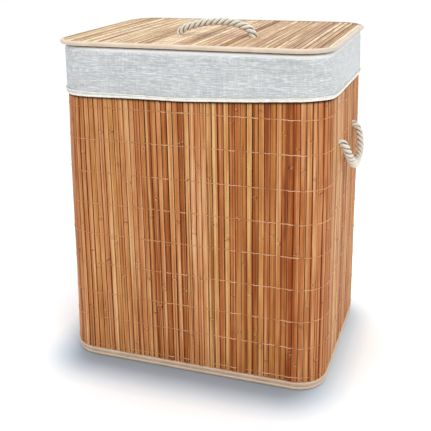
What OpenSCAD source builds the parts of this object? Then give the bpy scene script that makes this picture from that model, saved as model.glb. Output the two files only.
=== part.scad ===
// Laundry hamper: a rounded box of upright bamboo slats on a fabric backing, with a bound slat lid on a
// fabric hinge, twisted rope handles and a loose cloth liner that is folded over the rim.
// Millimetres. Origin: centre of the base on the floor. +Z up, front towards -Y, hinge at the back (+Y).

/* [Body] */
// width over the slats
body_w = 404; // [300:1:500]
// depth over the slats
body_d = 305; // [220:1:400]
// height to the top of the lid
total_h = 500; // [350:1:650]
// outside radius of the upright corners
corner_r = 44; // [25:1:70]

/* [Slats] */
// slat thickness
slat_t = 2; // [1:0.1:4]
// gap between neighbouring slats
slat_gap = 0.5; // [0.2:0.1:1.5]
// slats across the straight part of the front, and of the back
front_count = 38; // [20:1:60]
// slats in each half of a side panel
half_side_count = 13; // [6:1:20]
// slats round one corner
corner_count = 8; // [4:1:12]
// gap where the front and back mats meet in the middle of a side
seam_gap = 1.6; // [0.5:0.1:4]
// how far behind the middle that gap stands
seam_y = 3; // [-10:1:10]
// heights of the thread rows
thread_rows = [21, 69, 111, 161, 210, 259, 308, 358, 406, 454];

/* [Edges] */
// thickness of the fabric backing
lining_t = 1.5; // [0.8:0.1:3]
// diameter of the piping round the base panel
base_pipe_d = 6.6; // [4:0.1:10]
// diameter of the piping at the foot of the wall
foot_pipe_d = 6.9; // [4:0.1:10]
// diameter of the piping at the rim of the wall
rim_pipe_d = 6.4; // [4:0.1:10]
// diameter of the piping round the lid
lid_pipe_d = 6.2; // [4:0.1:10]
// how far the binding tape reaches in over the slats of a panel
tape_reach = 10; // [7:0.5:16]
// diameter of the steel rim wires
rim_wire_d = 4; // [2:0.1:5]
// diameter of the steel edge wires of the lid and the base
panel_wire_d = 3; // [2:0.1:4]

/* [Lid] */
// how far the lid stands out past the wall all round
overhang = 4.1; // [0:0.1:10]
// distance of the hinge line behind the wall
hinge_out = 9.5; // [6:0.5:14]
// height of the hinge line below the top of the lid
hinge_drop = 8; // [5:0.5:14]
// width of the fabric hinge
hinge_w = 296; // [150:1:340]

/* [Rope handles] */
// rope diameter
rope_d = 11.5; // [8:0.5:16]
// distance between the two holes of a handle
hole_span = 114; // [80:1:160]
// height of the side handle holes
side_hole_z = 354; // [250:1:420]
// how far a side loop hangs below its holes
side_drop = 46.5; // [30:0.5:80]
// angle at which a side loop stands off the wall
side_tilt = 8.7; // [0:0.1:20]
// centre of the lid handle, across the lid
lid_handle_x = 14; // [-60:1:60]
// centre of the lid handle, front to back
lid_handle_y = -46; // [-120:1:120]
// rise of the lid handle above its ends
lid_rise = 14; // [6:0.5:40]

/* [Liner] */
// cloth thickness
cloth_t = 1; // [0.5:0.1:2]
// gap between the wall and the bag
bag_inset = 10; // [8:0.5:20]
// height of the folded-over edge's hem
hem_z = 424; // [380:1:460]
// width left open in the folded-over edge for the hinge
back_open_w = 304; // [160:1:340]

/* [Cross wires] */
// diameter of the crossed steel wires
cross_d = 2.4; // [1.5:0.1:4]
// half the distance between the wires' ends, sideways
cross_x = 150; // [100:1:170]
// height of their lower ends
cross_low = 60; // [30:1:120]
// height of their upper ends
cross_high = 436; // [350:1:450]

/* [Hidden] */
$fn = 48;
rope_r = rope_d / 2;
foot_z = base_pipe_d + 0.1;               // underside of the wall's lower piping
slat_z0 = foot_z + foot_pipe_d;           // lower ends of the wall slats
lid_z = total_h - lid_pipe_d;             // underside of the lid's piping
rim_top = lid_z - 0.8 - cloth_t;          // top of the wall's upper piping
slat_z1 = rim_top - rim_pipe_d;           // upper ends of the wall slats
front_run = body_w - 2 * corner_r;
side_run = body_d - 2 * corner_r;
front_pitch = front_run / front_count;
hole_r = rope_r + 0.25;
lid_w = body_w + 2 * overhang;
lid_d = body_d + 2 * overhang;
lid_r = corner_r + overhang;
lid_slat_top = total_h - 0.8;
thread_t = 0.4;
stand_off = 7;                            // rope centre outside the wall, at a side hole
lid_pivot_z = lid_slat_top + thread_t + rope_r + 0.45;
side_pivot_x = body_w / 2 + stand_off;
knot_r = 10.5;
knot_in = slat_t + lining_t + 0.2 + knot_r;   // knot centre inside the wall's outer face
tail_len = 24;

// ---------- shared shapes ----------

// sweeps a profile round a rounded rectangle; the profile's x is outwards from the outline, its y is up
module ring(w = body_w, d = body_d, r = corner_r) {
  for (s = [0:3]) {
    run = s % 2 == 0 ? d : w;
    out = (s % 2 == 0 ? w : d) / 2;
    rotate([0, 0, 90 * s]) {
      translate([out, 0, 0]) rotate([90, 0, 0]) linear_extrude(run - 2 * r, center = true) children();
      translate([out - r, run / 2 - r, 0]) rotate_extrude(angle = 90) translate([r, 0]) children();
    }
  }
}

// an upright prism with rounded corners, inset from the outline by a distance
module slab(inset, z0, z1, w = body_w, d = body_d, r = corner_r) {
  a = w - 2 * inset;
  b = d - 2 * inset;
  c = r - inset;
  translate([0, 0, z0]) {
    translate([-a / 2, -(b - 2 * c) / 2, 0]) cube([a, b - 2 * c, z1 - z0]);
    translate([-(a - 2 * c) / 2, -b / 2, 0]) cube([a - 2 * c, b, z1 - z0]);
    for (sx = [-1, 1], sy = [-1, 1])
      translate([sx * (a / 2 - c), sy * (b / 2 - c), 0]) cylinder(h = z1 - z0, r = c);
  }
}

// one slat: outer face at y = 0, body towards +y, running along z, its outer edges eased
module slat(w, len, t = slat_t) {
  e = 0.35;
  linear_extrude(len)
    polygon([[-w / 2, t], [-w / 2, e], [-w / 2 + e, 0], [w / 2 - e, 0], [w / 2, e], [w / 2, t]]);
}

// the profile of a panel's edge: round piping, bored for its wire, with a tape leg above and below the slats
module edge_profile(z, pipe_d, leg_low, leg_high) {
  difference() {
    union() {
      translate([-pipe_d / 2, z + pipe_d / 2]) circle(d = pipe_d);
      for (leg = [leg_low, leg_high])
        translate([-tape_reach, leg]) square([tape_reach - pipe_d / 2, 0.8]);
    }
    translate([-pipe_d / 2, z + pipe_d / 2]) circle(d = panel_wire_d + 0.1);
  }
}

// the slats of a flat panel, running front to back, cut to the rounded outline
module panel_slats(w, d, r, inset, z, up) {
  a = w / 2 - inset;
  b = d / 2 - inset;
  c = r - inset;
  n = round(2 * a / front_pitch);
  pitch = 2 * a / n;
  for (i = [0:n - 1]) {
    x = -a + pitch * (i + 0.5);
    flat_run = abs(x) + pitch / 2 < a - c;
    if (flat_run) translate([x, 0, z]) panel_slat(pitch - slat_gap, 2 * b, up);
    else intersection() {
      translate([x, 0, z]) panel_slat(pitch - slat_gap, 2 * b, up);
      slab(inset, z - 1, z + slat_t + 1, w, d, r);
    }
  }
}
module panel_slat(w, len, up) {
  if (up) translate([0, len / 2, slat_t]) rotate([90, 0, 0]) mirror([0, 1, 0]) slat(w, len);
  else translate([0, len / 2, 0]) rotate([90, 0, 0]) slat(w, len);
}

// bores for the rope through both sides of the wall
module side_bores(r = hole_r) {
  for (sx = [-1, 1], sy = [-1, 1])
    translate([sx * body_w / 2, sy * hole_span / 2, side_hole_z]) rotate([0, 90, 0])
      cylinder(h = 20, r = r, center = true);
}

// the space that the knots and rope tails of the side handles take inside the wall
module knot_spaces(r) {
  for (sx = [-1, 1], sy = [-1, 1])
    translate([sx * (body_w / 2 - knot_in), sy * hole_span / 2, side_hole_z]) {
      sphere(r = r);
      translate([0, 0, -tail_len + 4]) cylinder(h = tail_len - 4, r = r);
      translate([0, 0, -tail_len + 4]) sphere(r = r);
    }
}

// a stopper knot at the origin: the rope goes out along +z by a length, and its tail leaves along a direction
module knot(out, tail_turn) {
  sphere(r = knot_r);
  cylinder(h = out, r = rope_r);
  rotate(tail_turn) cylinder(h = tail_len, r = rope_r - 0.5);
}

// ---------- wall ----------

module front_row(z0, z1) {
  for (i = [0:front_count - 1])
    translate([-front_run / 2 + front_pitch * (i + 0.5), -body_d / 2, z0])
      slat(front_pitch - slat_gap, z1 - z0);
}
module side_row(z0, z1) {
  for (half = [-1, 1]) {
    start = half < 0 ? -side_run / 2 : seam_y + seam_gap / 2;
    stop = half < 0 ? seam_y - seam_gap / 2 : side_run / 2;
    pitch = (stop - start) / half_side_count;
    for (i = [0:half_side_count - 1])
      translate([body_w / 2, start + pitch * (i + 0.5), z0]) rotate([0, 0, 90])
        slat(pitch - slat_gap, z1 - z0);
  }
}

module front_slats() color([0.72, 0.47, 0.28]) front_row(slat_z0, slat_z1);
module back_slats() color([0.72, 0.47, 0.28]) rotate([0, 0, 180]) front_row(slat_z0, slat_z1);
module right_slats() color([0.70, 0.46, 0.28]) difference() {
  side_row(slat_z0, slat_z1);
  side_bores();
}
module left_slats() color([0.70, 0.46, 0.28]) mirror([1, 0, 0]) difference() {
  side_row(slat_z0, slat_z1);
  side_bores();
}
module corner_slats() color([0.76, 0.52, 0.33]) {
  step = 90 / corner_count;
  // the flat slats stand inside the corner's arc with their edges on it, and are thinner by as much as
  // they stand in, so that their backs clear the cloth
  w = 2 * corner_r * sin(step / 2) - slat_gap;
  set_in = corner_r * (1 - cos(step / 2));
  for (sx = [-1, 1], sy = [-1, 1], i = [0:corner_count - 1])
    translate([sx * front_run / 2, sy * side_run / 2, slat_z0])
      rotate([0, 0, atan2(sy, sx) - 45 + step * (i + 0.5) + 90])
        translate([0, -corner_r + set_in, 0]) slat(w, slat_z1 - slat_z0, slat_t - set_in);
}
module slat_threads() color([0.90, 0.80, 0.70]) difference() {
  for (z = thread_rows) ring() translate([0.03, z - 0.5]) square([thread_t + 0.07, 1]);
  side_bores(hole_r + 0.1);
}
module wall_lining() color([0.55, 0.40, 0.28]) difference() {
  ring() translate([-slat_t - lining_t - 0.02, slat_z0 + 0.1]) square([lining_t, slat_z1 - slat_z0 - 0.2]);
  side_bores();
}
module rim_wire(z, pipe_d) ring() translate([-pipe_d / 2, z + pipe_d / 2]) circle(d = rim_wire_d);
module rim_binding(z, pipe_d) ring() difference() {
  translate([-pipe_d / 2, z + pipe_d / 2]) circle(d = pipe_d);
  translate([-pipe_d / 2, z + pipe_d / 2]) circle(d = rim_wire_d + 0.1);
}
module top_rim_wire() color([0.70, 0.71, 0.73]) rim_wire(slat_z1, rim_pipe_d);
module top_binding() color([0.88, 0.79, 0.69]) rim_binding(slat_z1, rim_pipe_d);
module bottom_rim_wire() color([0.70, 0.71, 0.73]) rim_wire(foot_z, foot_pipe_d);
module bottom_binding() color([0.88, 0.79, 0.69]) rim_binding(foot_z, foot_pipe_d);

// ---------- base panel ----------

module base_slats() color([0.76, 0.52, 0.33])
  panel_slats(body_w, body_d, corner_r, base_pipe_d + 0.1, 0.8, false);
module base_lining() color([0.80, 0.80, 0.78]) slab(base_pipe_d + 0.1, slat_t + 0.8, slat_t + 2.2);
module base_wire() color([0.70, 0.71, 0.73])
  ring() translate([-base_pipe_d / 2, base_pipe_d / 2]) circle(d = panel_wire_d);
module base_binding() color([0.88, 0.79, 0.69])
  ring() edge_profile(0, base_pipe_d, 0, slat_t + 2.2);

// ---------- crossed wires in the long walls ----------

module cross_wire(lean, depth) {
  run = 2 * cross_x;
  rise = cross_high - cross_low;
  translate([0, -body_d / 2 + depth, (cross_low + cross_high) / 2])
    rotate([0, lean * atan2(run, rise), 0])
      cylinder(h = sqrt(run * run + rise * rise), d = cross_d, center = true);
}
module cross_pair() {
  cross_wire(1, 5);
  cross_wire(-1, 7.5);
}
module front_cross_wires() color([0.70, 0.71, 0.73]) cross_pair();
module back_cross_wires() color([0.70, 0.71, 0.73]) rotate([0, 0, 180]) cross_pair();
module wire_pocket(sx, z, lean, depth) difference() {
  translate([sx * (cross_x - 2) - 11, -body_d / 2 + 3.6, z - 11]) cube([22, depth - 1.8, 22]);
  translate([0, -body_d / 2 + depth, (cross_low + cross_high) / 2])
    rotate([0, lean * atan2(2 * cross_x, cross_high - cross_low), 0])
      cylinder(h = norm([2 * cross_x, cross_high - cross_low]) + 1, d = cross_d + 0.2, center = true);
}
module wire_pockets() color([0.80, 0.80, 0.78]) for (turn = [0, 180]) rotate([0, 0, turn]) {
  wire_pocket(-1, cross_low + 3, 1, 5);
  wire_pocket(1, cross_high - 3, 1, 5);
  wire_pocket(-1, cross_high - 3, -1, 7.5);
  wire_pocket(1, cross_low + 3, -1, 7.5);
}

// ---------- cloth liner ----------

module back_opening(from) translate([-back_open_w / 2, body_d / 2 - from, hem_z - 20])
  cube([back_open_w, 40, total_h]);

// the bag inside the wall, pushed in over the handle knots, and its edge folded over the rim
module liner() color([0.82, 0.84, 0.86]) {
  difference() {
    slab(bag_inset, 5.2, rim_top + cloth_t);
    knot_spaces(knot_r + 0.7);
    difference() {
      slab(bag_inset + cloth_t, 5.2 + cloth_t, total_h);
      knot_spaces(knot_r + 0.7 + cloth_t);
    }
  }
  difference() {
    ring() translate([-bag_inset - 0.5, 0]) polygon([
      [0, rim_top], [bag_inset + 1.7, rim_top], [bag_inset + 1.7, hem_z],
      [bag_inset + 1.7 + cloth_t, hem_z], [bag_inset + 1.7 + cloth_t, rim_top + cloth_t],
      [0, rim_top + cloth_t]]);
    back_opening(bag_inset);
  }
}
module liner_hem() color([0.93, 0.91, 0.84]) difference() {
  ring() translate([2, hem_z - 1.55]) circle(d = 3);
  back_opening(5);
}
// three patches of hook-and-loop tape hold the liner's back edge to the wall
module patches(y, t) for (x = [-100, 0, 100]) translate([x - 25, body_d / 2 - y, 456]) cube([50, t, 20]);
module liner_loop_strips() color([0.85, 0.85, 0.83]) patches(6.7, 3.1);
module liner_hook_strips() color([0.80, 0.80, 0.78]) patches(bag_inset - 0.05, 3.2);

// ---------- rope handles ----------

module side_ends() for (sy = [-1, 1])
  translate([body_w / 2 - knot_in, sy * hole_span / 2, side_hole_z]) rotate([0, 90, 0])
    knot(knot_in + stand_off - rope_r - 0.3, [0, 90, 0]);
module right_handle_ends() color([0.93, 0.90, 0.80]) side_ends();
module left_handle_ends() color([0.93, 0.90, 0.80]) mirror([1, 0, 0]) side_ends();

// a rope arc between two points a span apart on x, its middle a rise towards +y
module rope_arc(span, rise) {
  r = (span * span / 4 + rise * rise) / (2 * rise);
  half = asin(span / 2 / r);
  translate([0, rise - r, 0]) rotate([0, 0, 90 - half])
    rotate_extrude(angle = 2 * half, $fn = 96) translate([r, 0]) circle(r = rope_r);
}
module side_rope() translate([side_pivot_x, 0, side_hole_z]) rotate([0, -side_tilt, 0])
  rotate([-90, 0, 90]) rope_arc(hole_span, side_drop);
module right_handle_rope() color([0.94, 0.91, 0.81]) side_rope();
module left_handle_rope() color([0.94, 0.91, 0.81]) mirror([1, 0, 0]) side_rope();
module lid_handle_rope() color([0.94, 0.91, 0.81])
  translate([lid_handle_x, lid_handle_y, lid_pivot_z]) rotate([90, 0, 0]) rope_arc(hole_span, lid_rise);

// ---------- lid ----------

module lid_bores(r = hole_r) for (s = [-1, 1])
  translate([lid_handle_x + s * hole_span / 2, lid_handle_y, lid_z - 2]) cylinder(h = 12, r = r);
module lid_slats() color([0.85, 0.70, 0.54]) difference() {
  panel_slats(lid_w, lid_d, lid_r, lid_pipe_d + 0.1, lid_slat_top - slat_t, true);
  lid_bores();
}
module lid_threads() color([0.92, 0.84, 0.74])
  for (y = [-122, -73.2, -24.4, 24.4, 73.2, 122]) {
    half = abs(y) > lid_d / 2 - lid_r
      ? lid_w / 2 - lid_r + sqrt(pow(lid_r - tape_reach, 2) - pow(abs(y) + 1 - lid_d / 2 + lid_r, 2))
      : lid_w / 2 - tape_reach - 0.5;
    translate([-half, y - 0.5, lid_slat_top + 0.02]) cube([2 * half, 1, thread_t]);
  }
module lid_lining() color([0.80, 0.80, 0.78]) difference() {
  slab(lid_pipe_d + 0.1, lid_slat_top - slat_t - 1.2, lid_slat_top - slat_t, lid_w, lid_d, lid_r);
  lid_bores();
}
module lid_wire() color([0.70, 0.71, 0.73])
  ring(lid_w, lid_d, lid_r) translate([-lid_pipe_d / 2, lid_z + lid_pipe_d / 2]) circle(d = panel_wire_d);
module lid_binding() color([0.90, 0.82, 0.72])
  ring(lid_w, lid_d, lid_r)
    edge_profile(lid_z, lid_pipe_d, lid_slat_top - slat_t - 2, lid_slat_top);
module lid_handle_ends() color([0.93, 0.90, 0.80]) for (s = [-1, 1]) {
  z = lid_slat_top - slat_t - 2.2 - knot_r;
  translate([lid_handle_x + s * hole_span / 2, lid_handle_y, z])
    knot(lid_pivot_z - rope_r - 0.3 - z, [180, 0, 0]);
}

// ---------- fabric hinge ----------

module hinge_strip_wall() color([0.88, 0.79, 0.69])
  translate([-hinge_w / 2, body_d / 2 + 0.6, 432]) cube([hinge_w, cloth_t, 56]);
module hinge_strip_lid() color([0.88, 0.79, 0.69])
  translate([-hinge_w / 2, lid_d / 2 + 0.05, lid_z + 0.6]) cube([hinge_w, cloth_t, 5]);

front_slats();
right_slats();
back_slats();
left_slats();
corner_slats();
slat_threads();
wall_lining();
top_rim_wire();
top_binding();
bottom_rim_wire();
bottom_binding();
base_slats();
base_lining();
base_wire();
base_binding();
front_cross_wires();
back_cross_wires();
wire_pockets();
liner();
liner_hem();
liner_loop_strips();
liner_hook_strips();
right_handle_ends();
left_handle_ends();
hinge_strip_wall();
lid_slats();
lid_threads();
lid_lining();
lid_wire();
lid_binding();
lid_handle_ends();
hinge_strip_lid();
lid_handle_rope();
right_handle_rope();
left_handle_rope();
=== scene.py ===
"""Looks of the laundry hamper: bamboo slats, piping, a cloth liner and twisted rope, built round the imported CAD.

Sizes are in millimetres unless a comment says otherwise, as the CAD source has them, and Build turns them into
metres. In materials, lengths are in metres and scales in cycles a metre."""

import math
import random

import bpy
import numpy as np
from mathutils import Matrix, Vector


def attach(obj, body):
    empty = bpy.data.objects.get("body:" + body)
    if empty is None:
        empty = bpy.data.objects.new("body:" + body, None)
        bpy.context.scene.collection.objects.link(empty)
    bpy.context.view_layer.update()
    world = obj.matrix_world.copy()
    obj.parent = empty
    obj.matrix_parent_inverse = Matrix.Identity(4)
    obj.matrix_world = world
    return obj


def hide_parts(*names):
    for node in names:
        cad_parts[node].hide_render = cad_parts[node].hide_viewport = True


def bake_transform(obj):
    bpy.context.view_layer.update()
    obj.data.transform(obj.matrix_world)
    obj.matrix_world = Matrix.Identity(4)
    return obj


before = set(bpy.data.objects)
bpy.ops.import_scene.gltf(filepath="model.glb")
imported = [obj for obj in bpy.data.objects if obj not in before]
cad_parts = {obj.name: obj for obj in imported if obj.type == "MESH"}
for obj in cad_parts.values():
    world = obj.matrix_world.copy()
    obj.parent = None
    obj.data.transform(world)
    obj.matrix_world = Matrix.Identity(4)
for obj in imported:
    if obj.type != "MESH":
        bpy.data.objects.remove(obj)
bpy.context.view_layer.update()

MM = 0.001
TURN = 2 * math.pi

# ---------- sizes ----------

BODY_W, BODY_D, TOTAL_H, CORNER_R = 404.0, 305.0, 500.0, 44.0
OVERHANG = 4.1
LID_W, LID_D, LID_R = BODY_W + 2 * OVERHANG, BODY_D + 2 * OVERHANG, CORNER_R + OVERHANG
FRONT_RUN, SIDE_RUN = BODY_W - 2 * CORNER_R, BODY_D - 2 * CORNER_R
SLAT_T = 2.0
FRONT_COUNT, HALF_SIDE_COUNT, CORNER_COUNT = 38, 13, 8
FRONT_PITCH = FRONT_RUN / FRONT_COUNT
SEAM_Y, SEAM_GAP = 3.0, 1.6
BASE_PIPE_D, FOOT_PIPE_D, RIM_PIPE_D, LID_PIPE_D = 6.6, 6.9, 6.4, 6.2
TAPE_REACH = 10.0
# outer and inner height of the tape's upper and lower leg
BASE_LEGS = (5.0, 4.25), (0.02, 0.78)
LID_LEGS = (TOTAL_H, TOTAL_H - 0.75), (495.2, 495.95)
# width of the lid tape's top leg towards -Y, +Y, -X and +X, as a share of the usual
LID_TAPE_LEGS = (0.17, 0.17, 0.2, 0.3)
LID_TAPE_ROOT = LID_PIPE_D / 2 + 1.1
FOOT_Z = BASE_PIPE_D + 0.1
SLAT_Z0 = FOOT_Z + FOOT_PIPE_D
LID_Z = TOTAL_H - LID_PIPE_D
RIM_TOP = LID_Z - 1.8
SLAT_Z1 = RIM_TOP - RIM_PIPE_D
LID_SLAT_TOP = TOTAL_H - 0.8
THREAD_ROWS = (21, 69, 111, 161, 210, 259, 308, 358, 406, 454)
LID_THREAD_ROWS = (-122, -73.2, -24.4, 24.4, 73.2, 122)
LINING_OUT, LINING_T = -2.45, 1.0
ROPE_D = 11.5
HOLE_SPAN, HOLE_R = 114.0, ROPE_D / 2 + 0.25
SIDE_HOLE_Z, SIDE_DROP, SIDE_TILT, STAND_OFF = 354.0, 46.5, 8.7, 7.0
SIDE_PIVOT_X = BODY_W / 2 + STAND_OFF
LID_HANDLE_X, LID_HANDLE_Y, LID_RISE = 14.0, -46.0, 14.0
LID_PIVOT_Z = LID_SLAT_TOP + 0.4 + ROPE_D / 2 + 0.45
KNOT_R, TAIL_LEN = 10.5, 24.0
KNOT_X = BODY_W / 2 - 14.2
LID_KNOT_Z = LID_SLAT_TOP - SLAT_T - 2.2 - KNOT_R
BAG_INSET, BAG_FLOOR_Z, BAG_BEND_R, CLOTH_T = 10.5, 5.9, 7.0, 0.9
BAG_LOW, BAG_HIGH = 16, 478   # the upright part of the bag's walls
CUFF_TOP_Z, RIM_STEP = 487.2, 3.4
HEM_D, BACK_OPEN_W = 3.2, 304.0
HINGE_W, HINGE_Y, HINGE_STEP = 296.0, BODY_D / 2 + 9.5, 1.6
STITCH_PITCH, STITCH_R = 4.2, 0.27
WALL_THREAD_R, LID_THREAD_R, THREAD_STEP = 0.30, 0.27, 3.0   # the step is the usual one between a thread's points
PATCH_W, PATCH_H, PATCH_Z, PATCH_XS = 50, 20, 466, (-100, 0, 100)
POCKET_W, POCKET_X, POCKET_LOW, POCKET_HIGH = 22, 148, 63, 433

# how far a flexible side wall stands in (+) or out (-) at each height, and the lid's end over it
LEANS = {
    -1: ((0, -3.8), (14, -3.8), (30, -3.4), (60, -2.2), (85, -1.4), (145, 0.0), (205, 0.8), (264, 2.1), (324, 3.6),
         (384, 5.8), (424, 7.2), (440, 7.9), (465, 8.4), (480, 8.2), (488, 8.0), (500, 8.0)),
    1: ((0, 0.0), (300, 0.0), (384, 1.2), (430, 2.0), (470, 3.2), (500, 3.4)),
}
LID_LEANS = {-1: 3.4, 1: 1.2}
LEAN_FROM_X = 95.0

# ---------- camera, light and floor ----------

CAM_AT = (0.37660, -1.09661, 0.64613)
CAM_RIGHT = (0.94337785, 0.33133181, -0.01604543)
CAM_UP = (-0.08036671, 0.2752165, 0.95801726)
CAM_AHEAD = (-0.32183756, 0.90248275, -0.2862612)
LENS, SENSOR, SHIFT_X, SHIFT_Y = 63.14, 36, 0.0114, -0.1363
FLOOR_HALF = 14.0   # metres


def make_camera():
    """The photograph's view, solved from the hamper's outline."""
    data = bpy.data.cameras.new("camera")
    data.lens, data.sensor_width = LENS, SENSOR
    data.shift_x, data.shift_y = SHIFT_X, SHIFT_Y
    data.clip_start, data.clip_end = 0.05, 50
    cam = bpy.data.objects.new("camera", data)
    bpy.context.scene.collection.objects.link(cam)
    columns = (CAM_RIGHT, CAM_UP, tuple(-a for a in CAM_AHEAD))
    turn = Matrix([[c[i] for c in columns] for i in range(3)])
    cam.matrix_world = Matrix.Translation(CAM_AT) @ turn.to_4x4()
    bpy.context.scene.camera = cam


def area_light(name, place, aim, size, watts, colour):
    data = bpy.data.lights.new(name, "AREA")
    data.shape, data.size, data.energy, data.color = "DISK", size, watts, colour
    lamp = bpy.data.objects.new(name, data)
    bpy.context.scene.collection.objects.link(lamp)
    lamp.location = place
    lamp.rotation_euler = (Vector(aim) - Vector(place)).to_track_quat("-Z", "Y").to_euler()


def make_studio():
    """Soft studio light and the floor."""
    world = bpy.data.worlds.new("studio")
    bpy.context.scene.world = world
    world.use_nodes = True
    background = world.node_tree.nodes["Background"]
    background.inputs["Color"].default_value = (0.985, 0.992, 1.0, 1)
    background.inputs["Strength"].default_value = 1.0
    area_light("key", (1.0, -1.0, 1.8), aim=(0.05, 0, 0.25), size=1.0, watts=10.0, colour=(1.0, 0.985, 0.96))
    area_light("top", (-0.1, 0.3, 2.0), aim=(0, 0, 0.4), size=0.8, watts=8.0, colour=(1.0, 0.99, 0.97))
    bpy.context.scene.view_settings.view_transform = "Standard"
    corners = [(x * FLOOR_HALF, y * FLOOR_HALF, 0) for x, y in ((-1, -1), (1, -1), (1, 1), (-1, 1))]
    mesh_object("floor", corners, [(0, 1, 2, 3)], floor_material(), smooth=False)


# ---------- meshes ----------

def mesh_object(name, verts, faces, material, smooth=True, points=None, corners=None):
    """A mesh object, with float attributes on its points and vector attributes on its face corners."""
    mesh = bpy.data.meshes.new(name)
    mesh.from_pydata(np.asarray(verts, float).tolist(), [], [tuple(int(i) for i in f) for f in faces])
    mesh.update()
    for key, values in (points or {}).items():
        mesh.attributes.new(key, "FLOAT", "POINT").data.foreach_set("value", np.asarray(values, np.float32))
    for key, values in (corners or {}).items():
        mesh.attributes.new(key, "FLOAT_VECTOR", "CORNER").data.foreach_set(
            "vector", np.asarray(values, np.float32).ravel())
    if smooth:
        smooth_shade(mesh)
    mesh.materials.append(material)
    piece = bpy.data.objects.new(name, mesh)
    bpy.context.scene.collection.objects.link(piece)
    return piece


def smooth_shade(mesh):
    mesh.polygons.foreach_set("use_smooth", np.ones(len(mesh.polygons), bool))


class Build:
    """Collects the points and faces of one piece."""

    def __init__(self):
        self.verts, self.faces, self.runs, self.marks, self.count = [], [], [], {}, 0

    def add(self, verts, faces, runs=None, **marks):
        """verts in millimetres; runs gives (along, around) in metres for each corner; marks are values per vertex."""
        verts = np.asarray(verts, float).reshape(-1, 3) * MM
        self.verts.append(verts)
        for k, f in enumerate(faces):
            self.faces.append(tuple(int(i) + self.count for i in f))
            self.runs.extend([(a, b, 0.0) for a, b in runs[k]] if runs is not None else [(0, 0, 0)] * len(f))
        for key, values in marks.items():
            self.marks.setdefault(key, []).append(np.broadcast_to(np.asarray(values, float), len(verts)))
        self.count += len(verts)

    def piece(self, name, material, smooth=True, runs=True):
        return mesh_object(name, np.vstack(self.verts), self.faces, material, smooth,
                           {k: np.concatenate(v) for k, v in self.marks.items()},
                           {"run": self.runs} if runs else None)

    def place(self, name, material, body, slot, *nodes):
        """The piece, put on its body in place of CAD nodes."""
        piece = self.piece(name, material)
        part_of(piece, body, slot, *nodes)
        return piece


def unit(vectors):
    return vectors / np.linalg.norm(vectors, axis=1)[:, None]


def flip(faces):
    """Faces, or the runs of their corners, the other way round."""
    return [tuple(reversed(f)) for f in faces]


def caps(rows, cols):
    """The two end faces of a tube whose points are stored ring by ring."""
    return [tuple(range(cols - 1, -1, -1)), tuple((rows - 1) * cols + k for k in range(cols))]


def distance_along(line):
    return np.concatenate([[0], np.cumsum(np.linalg.norm(np.diff(line, axis=0), axis=1))])


def grid_faces(rows, cols, wrap_rows=False, wrap_cols=False, keep=None):
    """Quads of a grid of points stored row by row. keep(i, j) leaves some out."""
    faces = []
    for i in range(rows if wrap_rows else rows - 1):
        for j in range(cols if wrap_cols else cols - 1):
            if keep is None or keep(i, j):
                a, b = (i + 1) % rows, (j + 1) % cols
                faces.append((i * cols + j, i * cols + b, a * cols + b, a * cols + j))
    return faces


def grid_runs(along, around, wrap_rows=False, wrap_cols=False, row_step=0.0, col_step=0.0):
    """(along, around) for each corner of grid_faces: along by row, around by column, unwrapped at the seams."""
    a = list(along) + [along[-1] + row_step]
    c = list(around) + [around[-1] + col_step]
    return [((a[i], c[j]), (a[i], c[j + 1]), (a[i + 1], c[j + 1]), (a[i + 1], c[j]))
            for i in range(len(along) if wrap_rows else len(along) - 1)
            for j in range(len(around) if wrap_cols else len(around) - 1)]


def outline(w, d, r, step=3.0, arc_steps=None):
    """A rounded rectangle from the middle of the back (+y) by the left (-x), the front and the right:
    points, outward normals and distance along."""
    points, normals = [], []

    def straight(a, b, n):
        count = max(2, int(round(math.dist(a, b) / step)))
        for k in range(count):
            t = k / count
            points.append((a[0] + (b[0] - a[0]) * t, a[1] + (b[1] - a[1]) * t))
            normals.append(n)

    def corner(cx, cy, from_deg):
        count = arc_steps or max(6, int(round(r * math.pi / 2 / step)))
        for k in range(count):
            a = math.radians(from_deg + 90 * k / count)
            points.append((cx + r * math.cos(a), cy + r * math.sin(a)))
            normals.append((math.cos(a), math.sin(a)))

    x, y = w / 2, d / 2
    straight((0, y), (-x + r, y), (0, 1))
    corner(-x + r, y - r, 90)
    straight((-x, y - r), (-x, -y + r), (-1, 0))
    corner(-x + r, -y + r, 180)
    straight((-x + r, -y), (x - r, -y), (0, -1))
    corner(x - r, -y + r, 270)
    straight((x, -y + r), (x, y - r), (1, 0))
    corner(x - r, y - r, 0)
    straight((x - r, y), (0, y), (0, 1))
    points = np.array(points)
    return points, np.array(normals), distance_along(np.vstack([points, points[:1]]))


def frames_along(line, first=(0.0, 0.0, 1.0), closed=False):
    """Tangents and two steady cross directions along a line of points."""
    line = np.asarray(line, float)
    ahead = unit(np.roll(line, -1, axis=0) - np.roll(line, 1, axis=0) if closed else np.gradient(line, axis=0))
    side = np.array(first, float)
    if abs(side @ ahead[0]) > 0.9:
        side = np.array((1.0, 0.0, 0.0))
    sides = []
    for t in ahead:
        side = side - (side @ t) * t
        side /= np.linalg.norm(side)
        sides.append(side)
    sides = np.array(sides)
    return ahead, sides, np.cross(ahead, sides)


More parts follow.
